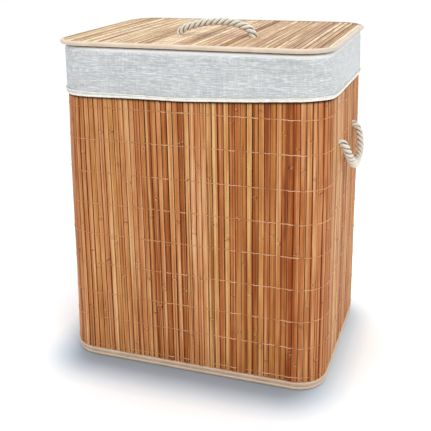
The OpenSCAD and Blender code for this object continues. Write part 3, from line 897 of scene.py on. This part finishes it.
def panel_slats(name, w, d, r, inset, z_out, upward, base, dice, holes=()):
    """The slats of a lid or base panel, front to back, cut to the rounded outline. z_out is their outer face."""
    a, b, c = w / 2 - inset, d / 2 - inset, r - inset
    count = round(2 * a / FRONT_PITCH)
    pitch = 2 * a / count
    build, rows = Build(), []
    across, out = (1, 0, 0), (0, 0, 1 if upward else -1)

    def reach_at(x):
        return b if abs(x) < a - c else b - c + math.sqrt(max(0.0, c * c - (abs(x) - a + c) ** 2))

    for i in range(count):
        at = (-a + pitch * (i + 0.5), 0, z_out)
        width = pitch - dice.uniform(0.6, 1.7)
        reach = reach_at(at[0])
        change = dice.triangular(-0.34, 0.26, 0.0) + (dice.random() < 0.22) * dice.uniform(-0.40, 0.1)
        tone = min(0.97, max(0.03, base + change))
        ends = dice.uniform(-0.3, 0.0)
        add_slat(build, at, across, out, (0, 1, 0), width, -reach - ends, reach + ends, SLAT_T, tone, dice,
                 reach_at=reach_at)
        rows.append((at, across, out, width, tone, reach))
    piece = build.piece(name, MAT["lid_bamboo"], smooth=False, runs=False)
    if holes:
        drill(piece, holes, (0, 0, 1))
    round_off(piece)
    return piece, rows


# ---------- piping, tape and stitches ----------

def leg_share(normals, legs):
    """The share of each leg width that applies where the outline faces normals."""
    x, y = normals[:, 0], normals[:, 1]
    return sum(share * np.clip(way, 0, 1) ** 2 for share, way in zip(legs, (-y, y, -x, x)))


def swept(build, w, d, r, profile, seed, legs=None, pucker=0.12):
    """Sweeps a closed profile of (out, up) points round a rounded rectangle, with the small unevenness of sewn tape."""
    points, normals, gone = outline(w, d, r)
    profile = np.asarray(profile, float)
    n, m = len(points), len(profile)
    centre = profile.mean(0)
    swell, lift = wavy(seed, 7, pucker, 5, 26), wavy(seed + 1, 4, pucker, 60, 200)
    s = gone[:-1]
    p = centre + (profile[None] - centre) * (1 + (swell(s) / 3.0)[:, None, None])
    out = p[..., 0] + lift(s)[:, None] * 0.5
    if legs:
        narrow = -LID_TAPE_ROOT + (out + LID_TAPE_ROOT) * leg_share(normals, legs)[:, None]
        out = np.where((out < -LID_TAPE_ROOT) & (profile[None, :, 1] > centre[1]), narrow, out)
    verts = np.zeros((n, m, 3))
    verts[..., :2] = points[:, None] + normals[:, None] * out[..., None]
    verts[..., 2] = p[..., 1] + lift(s)[:, None] * 0.4
    closing = float(np.linalg.norm(profile[0] - profile[-1])) * MM
    runs = grid_runs(s * MM, distance_along(profile) * MM, True, True, (gone[-1] - s[-1]) * MM, closing)
    build.add(verts, flip(grid_faces(n, m, True, True)), flip(runs))


def ring_profile(out, up, radius, sides=14):
    angles = [TURN * k / sides for k in range(sides)]
    return [(out + radius * math.cos(a), up + radius * math.sin(a)) for a in angles]


def pipe_profile(diameter, low_z):
    return ring_profile(-diameter / 2, low_z + diameter / 2, diameter / 2)


def edge_profile(pipe_d, low_z, top_leg, low_leg):
    """Tape folded round a panel's edge: over the piping, with a leg above and one below the slats. Legs are
    (outer z, inner z)."""
    pipe_r = pipe_d / 2
    cz = low_z + pipe_r
    top_a = math.asin(min(1.0, (top_leg[0] - cz) / pipe_r))
    arc = np.linspace(top_a if top_a < math.pi / 2 - 0.01 else math.pi / 2, -math.pi / 2 - 0.9, 12)
    outer = [(-TAPE_REACH, top_leg[0] - 0.25), (-TAPE_REACH + 0.5, top_leg[0]),
             (-TAPE_REACH * 0.62, top_leg[0] + 0.05), (-pipe_r - 0.9, top_leg[0] - 0.05)]
    outer += [(-pipe_r + pipe_r * math.cos(t), cz + pipe_r * math.sin(t)) for t in arc]
    outer += [(-pipe_r - 2.6, low_leg[0]), (-TAPE_REACH, low_leg[0] + 0.05)]
    inner = [(-TAPE_REACH, low_leg[1]), (-pipe_r - 1.5, low_leg[1]), (-pipe_r - 1.5, top_leg[1]),
             (-TAPE_REACH, top_leg[1])]
    return outer + inner


def add_stitches(build, points, normals, gone, inset, z, side=1, length=3.0, lift=0.12):
    """A row of stitches on a tape, inset from its outline. z is the tape's surface; side is 1 above and -1 below."""
    total = gone[-1]
    closed = np.vstack([points, points[:1]])
    inward = np.vstack([normals, normals[:1]]) * np.append(inset, inset[0])[:, None]
    sink = np.array([-0.35, 0.0, 0.08, 0.0, -0.35])
    count = int(total / STITCH_PITCH)
    for k in range(count):
        s = (k + 0.5) * total / count + np.array([-length / 2, -length / 4, 0, length / 4, length / 2])
        x, y = (np.interp(s % total, gone, closed[:, i]) - np.interp(s % total, gone, inward[:, i]) for i in (0, 1))
        tube(build, np.stack([x, y, z + side * sink + side * lift], axis=1), STITCH_R, 5)


def make_bindings():
    """The pipings and tapes round the foot, the rim, the base panel and the lid, with the lid's stitches."""
    body = (BODY_W, BODY_D, CORNER_R)
    build = Build()
    swept(build, *body, pipe_profile(FOOT_PIPE_D, FOOT_Z), 31)
    swept(build, *body, ring_profile(-2.6, FOOT_Z - 0.05, 1.4, 8), 40)
    build.place("foot_piping", MAT["foot_tape"], "basket", "binding_tape", "bottom_binding")
    build = Build()
    swept(build, *body, pipe_profile(RIM_PIPE_D, SLAT_Z1), 37)
    build.place("rim_piping", MAT["foot_tape"], "basket", "binding_tape", "top_binding")
    build = Build()
    swept(build, *body, edge_profile(BASE_PIPE_D, 0.0, *BASE_LEGS), 41)
    build.place("base_tape", MAT["foot_tape"], "basket", "binding_tape", "base_binding")
    build = Build()
    swept(build, LID_W, LID_D, LID_R, edge_profile(LID_PIPE_D, LID_Z, *LID_LEGS), 43, LID_TAPE_LEGS)
    build.place("lid_tape", MAT["tape"], "lid", "binding_tape", "lid_binding")
    build = Build()
    points, normals, gone = outline(LID_W, LID_D, LID_R)
    inset = LID_TAPE_ROOT + 0.4 * (TAPE_REACH - LID_TAPE_ROOT) * leg_share(normals, LID_TAPE_LEGS)
    add_stitches(build, points, normals, gone, inset, LID_LEGS[0][0])
    add_stitches(build, points, normals, gone, np.full(len(points), 8.0), LID_LEGS[1][0], side=-1)
    build.place("lid_stitches", MAT["stitch"], "lid", "thread")


# ---------- backing cloths ----------

def disc_sheet(w, d, r, z, seed, wave, rings=14):
    """A flat cloth with a rounded outline, a little uneven."""
    points, _, _ = outline(w, d, r, 7.0)
    n = len(points)
    lift, cross = wavy(seed, 4, wave, 70, 190), wavy(seed + 1, 4, wave, 60, 170)
    verts = np.zeros((rings, n, 3))
    for row, k in zip(verts, np.linspace(1.0, 0.02, rings)):
        row[:, :2] = points * k
        row[:, 2] = z + (lift(points[:, 0] * k) + cross(points[:, 1] * k)) * (1 - k ** 6)
    build = Build()
    build.add(verts, grid_faces(rings, n, False, True) + caps(rings, n)[1:])
    return build


def lean(verts, body):
    """Moves points of the basket or lid, in metres, by the side walls' slight lean."""
    x, z = verts[:, 0] / MM, verts[:, 2] / MM
    for side, steps in LEANS.items():
        share = np.clip((side * x - LEAN_FROM_X) / (BODY_W / 2 - LEAN_FROM_X), 0, 1)
        share = share * share * (3 - 2 * share)
        heights, amounts = np.array(steps).T
        amount = np.interp(z, heights, amounts) if body == "basket" else LID_LEANS[side]
        verts[:, 0] -= side * share * amount * MM
    return verts


def part_of(piece, body, slot, *nodes):
    """Puts a finished piece on its body, with the walls' lean, in place of CAD nodes."""
    verts = np.empty(len(piece.data.vertices) * 3)
    piece.data.vertices.foreach_get("co", verts)
    piece.data.vertices.foreach_set("co", lean(verts.reshape(-1, 3), body).ravel())
    piece.data.update()
    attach(piece, body)
    if nodes:
        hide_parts(*nodes)


def thicken(piece, thick):
    """Gives a cloth its thickness, half to each side."""
    solid = piece.modifiers.new("cloth", "SOLIDIFY")
    solid.thickness, solid.offset, solid.use_even_offset = thick * MM, 0.0, True
    apply_modifiers(piece)
    smooth_shade(piece.data)


def make_backings():
    """The cloths behind the slats of the lid, the base and the wall."""
    for body, node, w, d, r, inset, z, wave in (
        ("lid", "lid", LID_W, LID_D, LID_R, 6.3, 496.55, 0.12),
        ("basket", "base", BODY_W, BODY_D, CORNER_R, 6.7, 3.5, 0.1),
    ):
        w, d, r = w - 2 * inset, d - 2 * inset, r - inset
        piece = disc_sheet(w, d, r, z, 53, wave).piece(node + "_backing", MAT["panel_backing"])
        thicken(piece, LINING_T)
        # the side that faces the slats is near black, painted shade for the slat gaps; the other side stays grey
        piece.data.materials.append(MAT["gap_shade_backing"])
        slat_side = 1 if body == "lid" else -1
        for face in piece.data.polygons:
            face.material_index = int(face.normal.z * slat_side > 0.3)
        part_of(piece, body, "backing_cloth", node + "_lining")
    # the wall's backing cloth, near black all over as painted shade in the slat gaps
    points, normals, gone = outline(BODY_W, BODY_D, CORNER_R, 4.0)
    levels = np.linspace(SLAT_Z0 + 0.4, SLAT_Z1 - 0.4, 26)
    out = LINING_OUT - LINING_T / 2 + wavy(59, 4, 0.12, 30, 90)(gone[:-1])
    verts = np.zeros((len(levels), len(points), 3))
    verts[..., :2] = (points + normals * out[:, None])[None]
    verts[..., 2] = levels[:, None]
    build = Build()
    build.add(verts, grid_faces(len(levels), len(points), False, True))
    piece = build.piece("gap_shade_backing", MAT["gap_shade_backing"])
    thicken(piece, LINING_T)
    drill(piece, side_holes(-1, 1), (1, 0, 0))
    part_of(piece, "basket", "backing_cloth", "wall_lining")


# ---------- liner ----------

def knot_push(y, z):
    """How far the bag is pushed in by the knots and rope tails of a side handle."""
    push = np.zeros_like(y)
    for yk in (-HOLE_SPAN / 2, HOLE_SPAN / 2):
        ball = np.hypot(y - yk, z - SIDE_HOLE_Z)
        tail = np.hypot(y - yk, z - SIDE_HOLE_Z + np.clip(SIDE_HOLE_Z - z, 0, TAIL_LEN))
        for dist, radius in ((ball, KNOT_R + 1.6), (tail, ROPE_D / 2 + 1.0)):
            inside = np.sqrt(np.clip(radius ** 2 - dist ** 2, 0, None)) + 4.6
            skirt = 5.2 * np.exp(-(np.clip(dist - radius * 0.9, 0, None) / 9.0) ** 2)
            push = np.maximum(push, np.where(dist < radius, np.maximum(inside, skirt), skirt))
    return push


def cuff_out(s, t, at):
    """How far the folded edge stands out: t is 0 at the rim and 1 at the hem."""
    slow, quick = wavy(101, 5, 0.8, 90, 310), wavy(103, 5, 0.45, 34, 90)
    body = (0.7 + slow(s)) * np.sin(np.clip(t, 0, 1) * math.pi * 0.78) * 1.1 + quick(s) * t
    loose = 1 - 0.85 * np.clip((np.abs(at[:, 0]) - BODY_W / 2 + CORNER_R) / CORNER_R, 0, 1)
    return np.maximum(1.15, 1.2 + (0.5 + body + 0.7 * t) * loose)


def make_hem(edge, normals):
    """The rolled hem along the folded edge, and above it the turned-in strip: a flat band with a soft upper ridge
    that comes closer to the roll to the right. Returns both pieces."""
    line = edge + np.column_stack([normals * 0.45, np.full(len(edge), -HEM_D / 2 + 0.9)])
    line = smooth_line(line[::2], 2.0)
    gone = np.arange(len(line)) * 2.0
    roll, band = Build(), Build()
    tube(roll, line, HEM_D / 2 + wavy(107, 6, 0.16, 9, 40)(gone), 10, (0, 0, 1), (1.12, 0.9))
    share = np.clip((line[:, 0] + 190) / 190, 0, 1)
    high = 5.6 - 2.9 * share * share * (3 - 2 * share) + wavy(131, 4, 0.35, 30, 110)(gone)
    _, _, out = frames_along(line)
    out = out * np.sign((out * line * (1, 1, 0)).sum(1))[:, None]
    low = np.full(len(line), HEM_D * 0.3)
    grid = np.stack([line + out * proud + lift[:, None] * (0, 0, 1) for proud, lift in (
        (-0.1, low), (0.75, low), (0.75, high - 0.8), (0.6, high + 0.1), (-0.1, high + 0.3))], axis=1)
    n, m = grid.shape[:2]
    runs = grid_runs(gone * MM, np.array([0, 0.7, 3.0, 5.0, 5.6]) * MM, False, True, 0, 0.0007)
    band.add(grid, grid_faces(n, m, False, True), runs, worn=0.25)
    tube(roll, line + out * 0.95 + high[:, None] * (0, 0, 1), 0.75, 7, (0, 0, 1), (1.0, 0.8))
    strip = band.place("liner_hem_band", MAT["linen"], "basket", "liner_cloth")
    return roll.place("liner_edge_hem", MAT["hem"], "basket", "hem_piping", "liner_hem"), strip


def make_liner():
    """The liner as one cloth: the bag's bottom, its walls with their slack, the fold over the rim and the cuff,
    which is open at the back where the hinge is."""
    points, normals, gone = outline(BODY_W, BODY_D, CORNER_R, RIM_STEP)
    s, n = gone[:-1], len(points)
    rows = []

    def row(out, z):
        out = np.broadcast_to(np.asarray(out, float), n)
        z = np.broadcast_to(np.asarray(z, float), n)
        rows.append(np.column_stack([points + normals * out[:, None], z]))

    floor_wave = wavy(71, 5, 1.3, 60, 180), wavy(73, 5, 1.3, 50, 150)
    inset = points + normals * -(BAG_INSET + BAG_BEND_R)
    for k in (0.03, 0.16, 0.3, 0.44, 0.58, 0.71, 0.83, 0.93, 1.0):
        lift = (floor_wave[0](inset[:, 0] * k) + floor_wave[1](inset[:, 1] * k) + 2.2) * (1 - k ** 8) ** 0.5
        rows.append(np.column_stack([inset * k, BAG_FLOOR_Z + np.clip(lift, 0, None)]))
    for a in (math.radians(25), math.radians(50), math.radians(75)):
        row(-BAG_INSET - BAG_BEND_R + BAG_BEND_R * math.sin(a), BAG_FLOOR_Z + BAG_BEND_R * (1 - math.cos(a)))
    slack = wavy(79, 6, 1.0, 60, 230), wavy(83, 6, 1.0, 45, 160), wavy(89, 5, 1.0, 120, 420)
    for z in np.concatenate([np.linspace(BAG_LOW, 300, 30), np.linspace(306, 380, 20), np.linspace(390, BAG_HIGH, 9)]):
        ease = math.sin(math.pi * min(1.0, (z - BAG_LOW) / (BAG_HIGH - BAG_LOW))) ** 0.6
        fold = (slack[0](s + 0.25 * z) * 1.6 + slack[1](s - 0.4 * z) * 1.0 + slack[2](s) * 1.2) * ease
        fold = np.clip(fold, -4.5, 3.6)
        on_side = np.abs(points[:, 0]) > BODY_W / 2 - 1
        push = np.where(on_side, knot_push(points[:, 1], np.full(n, z)), 0.0)
        row(-BAG_INSET + np.where(push > 0.4, np.minimum(fold, 0) * 0.3 - push, fold), z)
    for out, z in ((-10.3, 483), (-10.0, 487.5), (-8.8, 490.8), (-6.4, 492.3)):
        row(out, z)
    bag_rows = len(rows)
    for out, z in ((-4.2, 492.6), (-2.3, 492.3), (-0.9, 491.4), (0.2, 490.0), (0.9, 488.4)):
        row(out, z)
    hem = hem_heights(points, gone) + wavy(97, 4, 0.3, 70, 200)(s)
    for t in np.linspace(0.03, 1.0, 24):
        row(cuff_out(s, t, points), CUFF_TOP_Z + (hem - CUFF_TOP_Z) * t)
    open_back = (np.abs(points[:, 0]) < BACK_OPEN_W / 2) & (points[:, 1] > 0)
    open_cell = open_back | np.roll(open_back, -1)
    faces = grid_faces(len(rows), n, False, True, lambda i, j: i < bag_rows - 1 or not open_cell[j])
    faces = flip(faces + caps(len(rows), n)[:1])
    used = np.unique(np.concatenate([np.array(f) for f in faces]))
    new = np.full(len(rows) * n, -1)
    new[used] = np.arange(len(used))
    at, row_of = np.concatenate(rows)[used], used // n
    # painted highlight where the fold's top catches the light just under the lid
    worn = 0.9 * np.exp(-((at[:, 2] - 489.6) / 1.8) ** 2) * (row_of > bag_rows) * np.clip((at[:, 0] + 190) / 60, 0.1, 1)
    shade = np.clip((at[:, 2] - 491.2) / 0.6, 0, 1) * (row_of >= bag_rows - 1)
    build = Build()
    build.add(at, [tuple(new[list(f)]) for f in faces], None, worn=worn, shade=shade)
    piece = build.piece("liner_cloth", MAT["linen"])
    thicken(piece, CLOTH_T)
    part_of(piece, "basket", "liner_cloth", "liner")
    shut = np.where(~open_cell)[0]
    hem_pieces = make_hem(rows[-1][shut], normals[shut])


# ---------- patches ----------

def add_patch(build, x, z, width, height, y_face, y_back, seed):
    """A sewn patch: rounded corners, a crowned face and soft sides, lying in the x-z plane."""
    dice = random.Random(seed)
    points, normals, _ = outline(width, height, 2.2, 2.4, 4)
    front = 1 if y_face > y_back else -1
    rows = []

    def row(at, y):
        rows.append(np.column_stack([x + at[:, 0], np.full(len(at), y), z + at[:, 1]]))

    for inset, depth in ((0.0, 1.0), (0.0, 0.25), (0.35, 0.06), (1.2, 0.0)):
        row(points - normals * inset, y_face + (y_back - y_face) * depth)
    for k in (0.7, 0.35, 0.04):
        row((points - normals * 1.2) * k, y_face + front * 0.15 * (1 - k) + dice.uniform(-0.05, 0.05))
    faces = grid_faces(len(rows), len(points), False, True) + caps(len(rows), len(points))
    build.add(np.concatenate(rows), flip(faces) if front > 0 else faces)


def make_patches():
    """Three pairs of hook-and-loop patches at the back, and the pockets for the crossed wires' ends."""
    lining = BODY_D / 2 - 3.7
    for kind, face, back in (("loop", lining - 3.0, lining), ("hook", lining - 6.2, lining - 3.1)):
        build = Build()
        for k, x in enumerate(PATCH_XS):
            add_patch(build, x, PATCH_Z, PATCH_W, PATCH_H, face, back, seed=k)
        build.place(kind + "_patches", MAT["loop_tape"], "basket", "loop_tape", "liner_" + kind + "_strips")
    build = Build()
    low, high = POCKET_LOW, POCKET_HIGH
    for side in (-1, 1):
        for sx, z, depth in ((-1, low, 3.1), (1, high, 3.1), (-1, high, 5.6), (1, low, 5.6)):
            face, back = side * (lining - depth), side * lining
            add_patch(build, -side * sx * POCKET_X, z, POCKET_W, POCKET_W, face, back, seed=5)
    build.place("wire_end_pockets", MAT["panel_backing"], "basket", "backing_cloth", "wire_pockets")


# ---------- hinge ----------

def make_hinge():
    """One strip of tape cloth from the wall, round the hinge line, to the lid's back edge."""
    y0, y1 = BODY_D / 2 + 1.1, LID_D / 2 + 0.55
    path = smooth_line([(0, y0, z) for z in (432, 446, 460, 474, 483)]
                       + [(0, y0 + 1.2, 487.0), (0, y0 + 5.0, 489.6), (0, HINGE_Y - 0.4, 491.0),
                          (0, HINGE_Y + 0.3, 492.4), (0, HINGE_Y - 1.0, 494.1), (0, y1 + 1.2, 495.6),
                          (0, y1 + 0.15, 497.2), (0, y1, 499.4)], HINGE_STEP)
    across = np.linspace(-HINGE_W / 2, HINGE_W / 2, 75)
    ripple = wavy(113, 5, 0.35, 24, 90)
    free = np.exp(-((path[:, 2] - 490.5) / 5.0) ** 2)
    verts = np.zeros((len(path), len(across), 3))
    verts[..., 0] = across[None]
    verts[..., 1] = path[:, None, 1] + ripple(across)[None] * (0.25 + free[:, None])
    verts[..., 2] = path[:, None, 2]
    build = Build()
    gone = np.arange(len(path)) * HINGE_STEP * MM
    build.add(verts, grid_faces(len(path), len(across)), grid_runs(gone, across * MM))
    piece = build.piece("hinge_cloth", MAT["hinge_tape"])
    thicken(piece, 0.8)
    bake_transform(piece)
    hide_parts("hinge_strip_wall", "hinge_strip_lid")
    build = Build()
    for z in (435.0, 478.0):
        for k in range(int(HINGE_W / STITCH_PITCH)):
            x = -HINGE_W / 2 + 2 + STITCH_PITCH * k
            stops = ((0, -0.2), (0.7, 0.12), (1.5, 0.2), (2.3, 0.12), (3.0, -0.2))
            tube(build, [(x + dx, y0 + 0.4 + dy, z) for dx, dy in stops], STITCH_R, 5)
    build.place("hinge_stitches", MAT["stitch"], "basket", "thread")


# ---------- rope ----------

STRAND_SHARE = 1 / (1 + 2 / math.sqrt(3))   # a strand's radius as a share of a three-strand rope's
ROPE_LAY = 27.5                             # length of one full turn of a strand
TAIL_D = ROPE_D - 1.6
ROPE_STEP = 1.0


def add_rope(build, line, diameter=ROPE_D, lay=ROPE_LAY, first=(0, 0, 1), sides=12, taper=1.0):
    """Three strands laid left-handed round a line of evenly spaced points."""
    line = np.asarray(line, float)
    n = len(line)
    _, u, v = frames_along(line, first)
    gone = distance_along(line)
    strand = diameter / 2 * STRAND_SHARE
    scale = np.ones(n) * taper
    angle = np.arange(sides) * TURN / sides
    faces = flip(grid_faces(n, sides, False, True) + caps(n, sides))
    runs = grid_runs(gone * MM, angle / TURN, False, True, 0, 1 / sides)
    runs = flip(runs + [tuple((0.0, j / sides) for j in range(sides))] * 2)
    for k in range(3):
        turn = -TURN * gone / lay + k * TURN / 3
        offset = (u * np.cos(turn)[:, None] + v * np.sin(turn)[:, None]) * ((diameter / 2 - strand) * scale)[:, None]
        path = line + offset
        tangent = unit(np.gradient(path, axis=0))
        a = unit(offset)
        a = unit(a - (a * tangent).sum(1)[:, None] * tangent)
        b = np.cross(tangent, a)
        round_it = a[:, None] * np.cos(angle)[None, :, None] + b[:, None] * np.sin(angle)[None, :, None]
        build.add(path[:, None] + round_it * (strand * scale * 1.03)[:, None, None], faces, runs)


def add_knot(build, at, out, radius=TAIL_D / 2):
    """A stopper knot as an overhand loop pulled tight, with a short tail that hangs down, bound with thread at its
    end. out is the way the rope leaves."""
    at, out, down = (np.asarray(v, float) for v in (at, out, (0, 0, -1)))
    t = np.linspace(0, TURN, 90, endpoint=False)
    loop = np.stack([np.sin(t) + 2 * np.sin(2 * t), np.cos(t) - 2 * np.cos(2 * t), -np.sin(3 * t)], axis=1) * 1.95
    line = at + loop[:, :1] * np.cross(out, down) + loop[:, 1:2] * down + loop[:, 2:] * out * 1.3
    add_rope(build, np.vstack([line, line[:1]]), 8.6, 16.0, tuple(out), 10)
    tail = np.array([at + down * k for k in np.arange(2.0, TAIL_LEN, 1.0)])
    taper = 1 + 0.10 * np.clip((np.arange(len(tail)) - len(tail) + 5) / 5, 0, 1)
    add_rope(build, tail, TAIL_D, ROPE_LAY, tuple(out), 10, taper)
    turns, pitch = 5, 0.8
    t = np.linspace(0, turns * TURN, turns * 18)[:, None]
    u, v, up = np.array((0.0, 1.0, 0.0)), np.array((-1.0, 0.0, 0.0)), np.array((0.0, 0.0, 1.0))
    end = np.array((at[0], at[1], at[2] - TAIL_LEN + 5))
    tube(build, end + u * np.cos(t) * radius + v * np.sin(t) * radius + up * (t / TURN * pitch), 0.42, 6)


def make_rope(name, line, body, handle, start, end, node, **settings):
    """A handle's rope along its line, in place of a CAD node. body, handle, start and end (two points in metres) are
    not used.
    """
    build = Build()
    add_rope(build, line, **settings)
    piece = build.piece(name, MAT["rope"])
    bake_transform(piece)
    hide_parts(node)


def arc_shape(rise):
    """Radius and half angle of the circle through two rope holes with a rise between them."""
    half = HOLE_SPAN / 2
    radius = (half * half + rise * rise) / (2 * rise)
    return radius, math.asin(half / radius)


def side_rope_line():
    """The right handle's rope, from one knot out through the wall, down, and back up into the other hole. Its far
    strand bulges outwards, its near one outwards and up."""
    radius, reach = arc_shape(SIDE_DROP)
    tilt = math.radians(SIDE_TILT)
    down = np.array((math.sin(tilt), 0, -math.cos(tilt)))
    centre = np.array((SIDE_PIVOT_X, 0, SIDE_HOLE_Z)) - down * (radius - SIDE_DROP)
    arc = [centre + radius * (math.sin(a) * np.array((0, 1, 0)) + math.cos(a) * down)
           + np.array((3.6, 0, 0)) * math.exp(-((a - 0.55 * reach) / (0.42 * reach)) ** 2)
           + np.array((2.0, 0, 2.4)) * math.exp(-((a + 0.45 * reach) / (0.40 * reach)) ** 2)
           for a in np.linspace(-reach * 0.86, reach * 0.86, 21)]
    bend = [(KNOT_X, 0.0, 0.0), (194, 0.0, 0.0), (200, 0.0, 0.0), (205.0, 0.0, -0.7), (208.6, 0.1, -3.6)]
    start = [np.array((x, -HOLE_SPAN / 2 + dy, SIDE_HOLE_Z + dz)) for x, dy, dz in bend]
    stop = [np.array((p[0], -p[1], p[2])) for p in reversed(start)]
    return smooth_line(start + arc + stop, ROPE_STEP)


def lid_rope_line():
    """The lid handle's rope, a low arch that leans a little to the right."""
    radius, reach = arc_shape(LID_RISE)
    arc = [np.array((LID_HANDLE_X + radius * math.sin(a) + 8.0 * math.cos(a / reach * math.pi / 2), LID_HANDLE_Y,
                     LID_PIVOT_Z + LID_RISE - radius + radius * math.cos(a)))
           for a in np.linspace(-reach * 0.86, reach * 0.86, 21)]
    bend = ((0, LID_KNOT_Z), (0, 491), (0, 497.5), (0.6, 502.0), (3.4, 506.0))
    start = [np.array((LID_HANDLE_X - HOLE_SPAN / 2 + dx, LID_HANDLE_Y, z)) for dx, z in bend]
    stop = [np.array((2 * LID_HANDLE_X - p[0], p[1], p[2])) for p in reversed(start)]
    return smooth_line(start + arc + stop, ROPE_STEP)


def make_ropes():
    """Each handle's rope, with a knot behind each of its holes."""
    side = side_rope_line()
    thick = 1 + 0.13 * np.exp(-((np.linspace(0, 1, len(side)) - 0.36) / 0.13) ** 2)
    for name, sx in (("right_handle", 1), ("left_handle", -1)):
        make_rope(name + "_twisted_rope", side * np.array((sx, 1, 1)), "basket", name, (sx * 0.2030, 0, 0.3520),
                  (sx * 0.2095, 0, 0.3455), name + "_rope", taper=thick)
        build = Build()
        for sy in (-1, 1):
            add_knot(build, (sx * KNOT_X, sy * HOLE_SPAN / 2, SIDE_HOLE_Z), (sx, 0, 0))
        build.place(name + "_knots", MAT["rope"], "basket", "rope", name + "_ends")
    line = lid_rope_line()
    make_rope("lid_handle_twisted_rope", line, "lid", "lid_handle", (0, 0, 0.4990), (0, 0, 0.5040),
              "lid_handle_rope", first=(0, 1, 0), taper=np.linspace(0.93, 1.07, len(line)))
    build = Build()
    for sx in (-1, 1):
        add_knot(build, (LID_HANDLE_X + sx * HOLE_SPAN / 2, LID_HANDLE_Y, LID_KNOT_Z), (0, 1, 0))
    build.place("lid_handle_knots", MAT["rope"], "lid", "rope", "lid_handle_ends")


# ---------- lid and base panels, and wires ----------

def make_panels():
    """The slats of the lid and the base, and the threads woven through the lid's."""
    holes = [(LID_HANDLE_X + s * HOLE_SPAN / 2, LID_HANDLE_Y, LID_SLAT_TOP - 1) for s in (-1, 1)]
    piece, rows = panel_slats("lid_bamboo", LID_W, LID_D, LID_R, LID_TAPE_ROOT + 0.5, LID_SLAT_TOP, True, 0.80,
                              random.Random(5), holes)
    part_of(piece, "lid", "bamboo", "lid_slats")
    dice, build = random.Random(17), Build()
    for y in LID_THREAD_ROWS:
        inside = [r for r in rows if r[5] - 3 > abs(y) and abs(r[0][0]) < LID_W / 2 - TAPE_REACH - 2]
        shown = [(*r[:5], dice.uniform(0.2, 0.8)) for r in inside]
        for line, tones, shows in add_weave(shown, (0, y, 0), dice, 0.32):
            line[:, 1] += wander(dice)(np.arange(len(line)) * THREAD_STEP)
            tube(build, line, LID_THREAD_R, 5, (0, 1, 0), (1.2, 0.8), tone=tones, show=shows)
    build.place("lid_threads_woven", MAT["lid_thread"], "lid", "thread", "lid_threads")
    piece, _ = panel_slats("base_bamboo", BODY_W, BODY_D, CORNER_R, BASE_PIPE_D + 0.1, 0.8, False, 0.5,
                           random.Random(9))
    part_of(piece, "basket", "bamboo", "base_slats")


def finish_wires():
    """The wires in the rim, foot, base and lid, and a better steel for the crossed wires of the CAD model."""
    for name, node, pipe_d, low_z, radius in (
        ("rim", "top_rim", RIM_PIPE_D, SLAT_Z1, 2.0),
        ("foot", "bottom_rim", FOOT_PIPE_D, FOOT_Z, 2.0),
        ("base", "base", BASE_PIPE_D, 0.0, 1.5),
        ("lid", "lid", LID_PIPE_D, LID_Z, 1.5),
    ):
        body, more = ("lid", OVERHANG) if name == "lid" else ("basket", 0.0)
        w, d, r = BODY_W + 2 * more - pipe_d, BODY_D + 2 * more - pipe_d, CORNER_R + more - pipe_d / 2
        points, _, _ = outline(w, d, r, 6.0)
        build = Build()
        tube(build, np.column_stack([points, np.full(len(points), low_z + pipe_d / 2)]), radius, 12, closed=True)
        build.place(name + "_wire_hoop", MAT["steel"], body, "steel_wire", node + "_wire")
    for node in ("front_cross_wires", "back_cross_wires"):
        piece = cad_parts[node]
        piece.data.materials.clear()
        piece.data.materials.append(MAT["steel"])


make_camera()
make_studio()
make_wall_threads(make_wall())
make_panels()
make_bindings()
make_backings()
make_liner()
make_patches()
make_hinge()
make_ropes()
finish_wires()
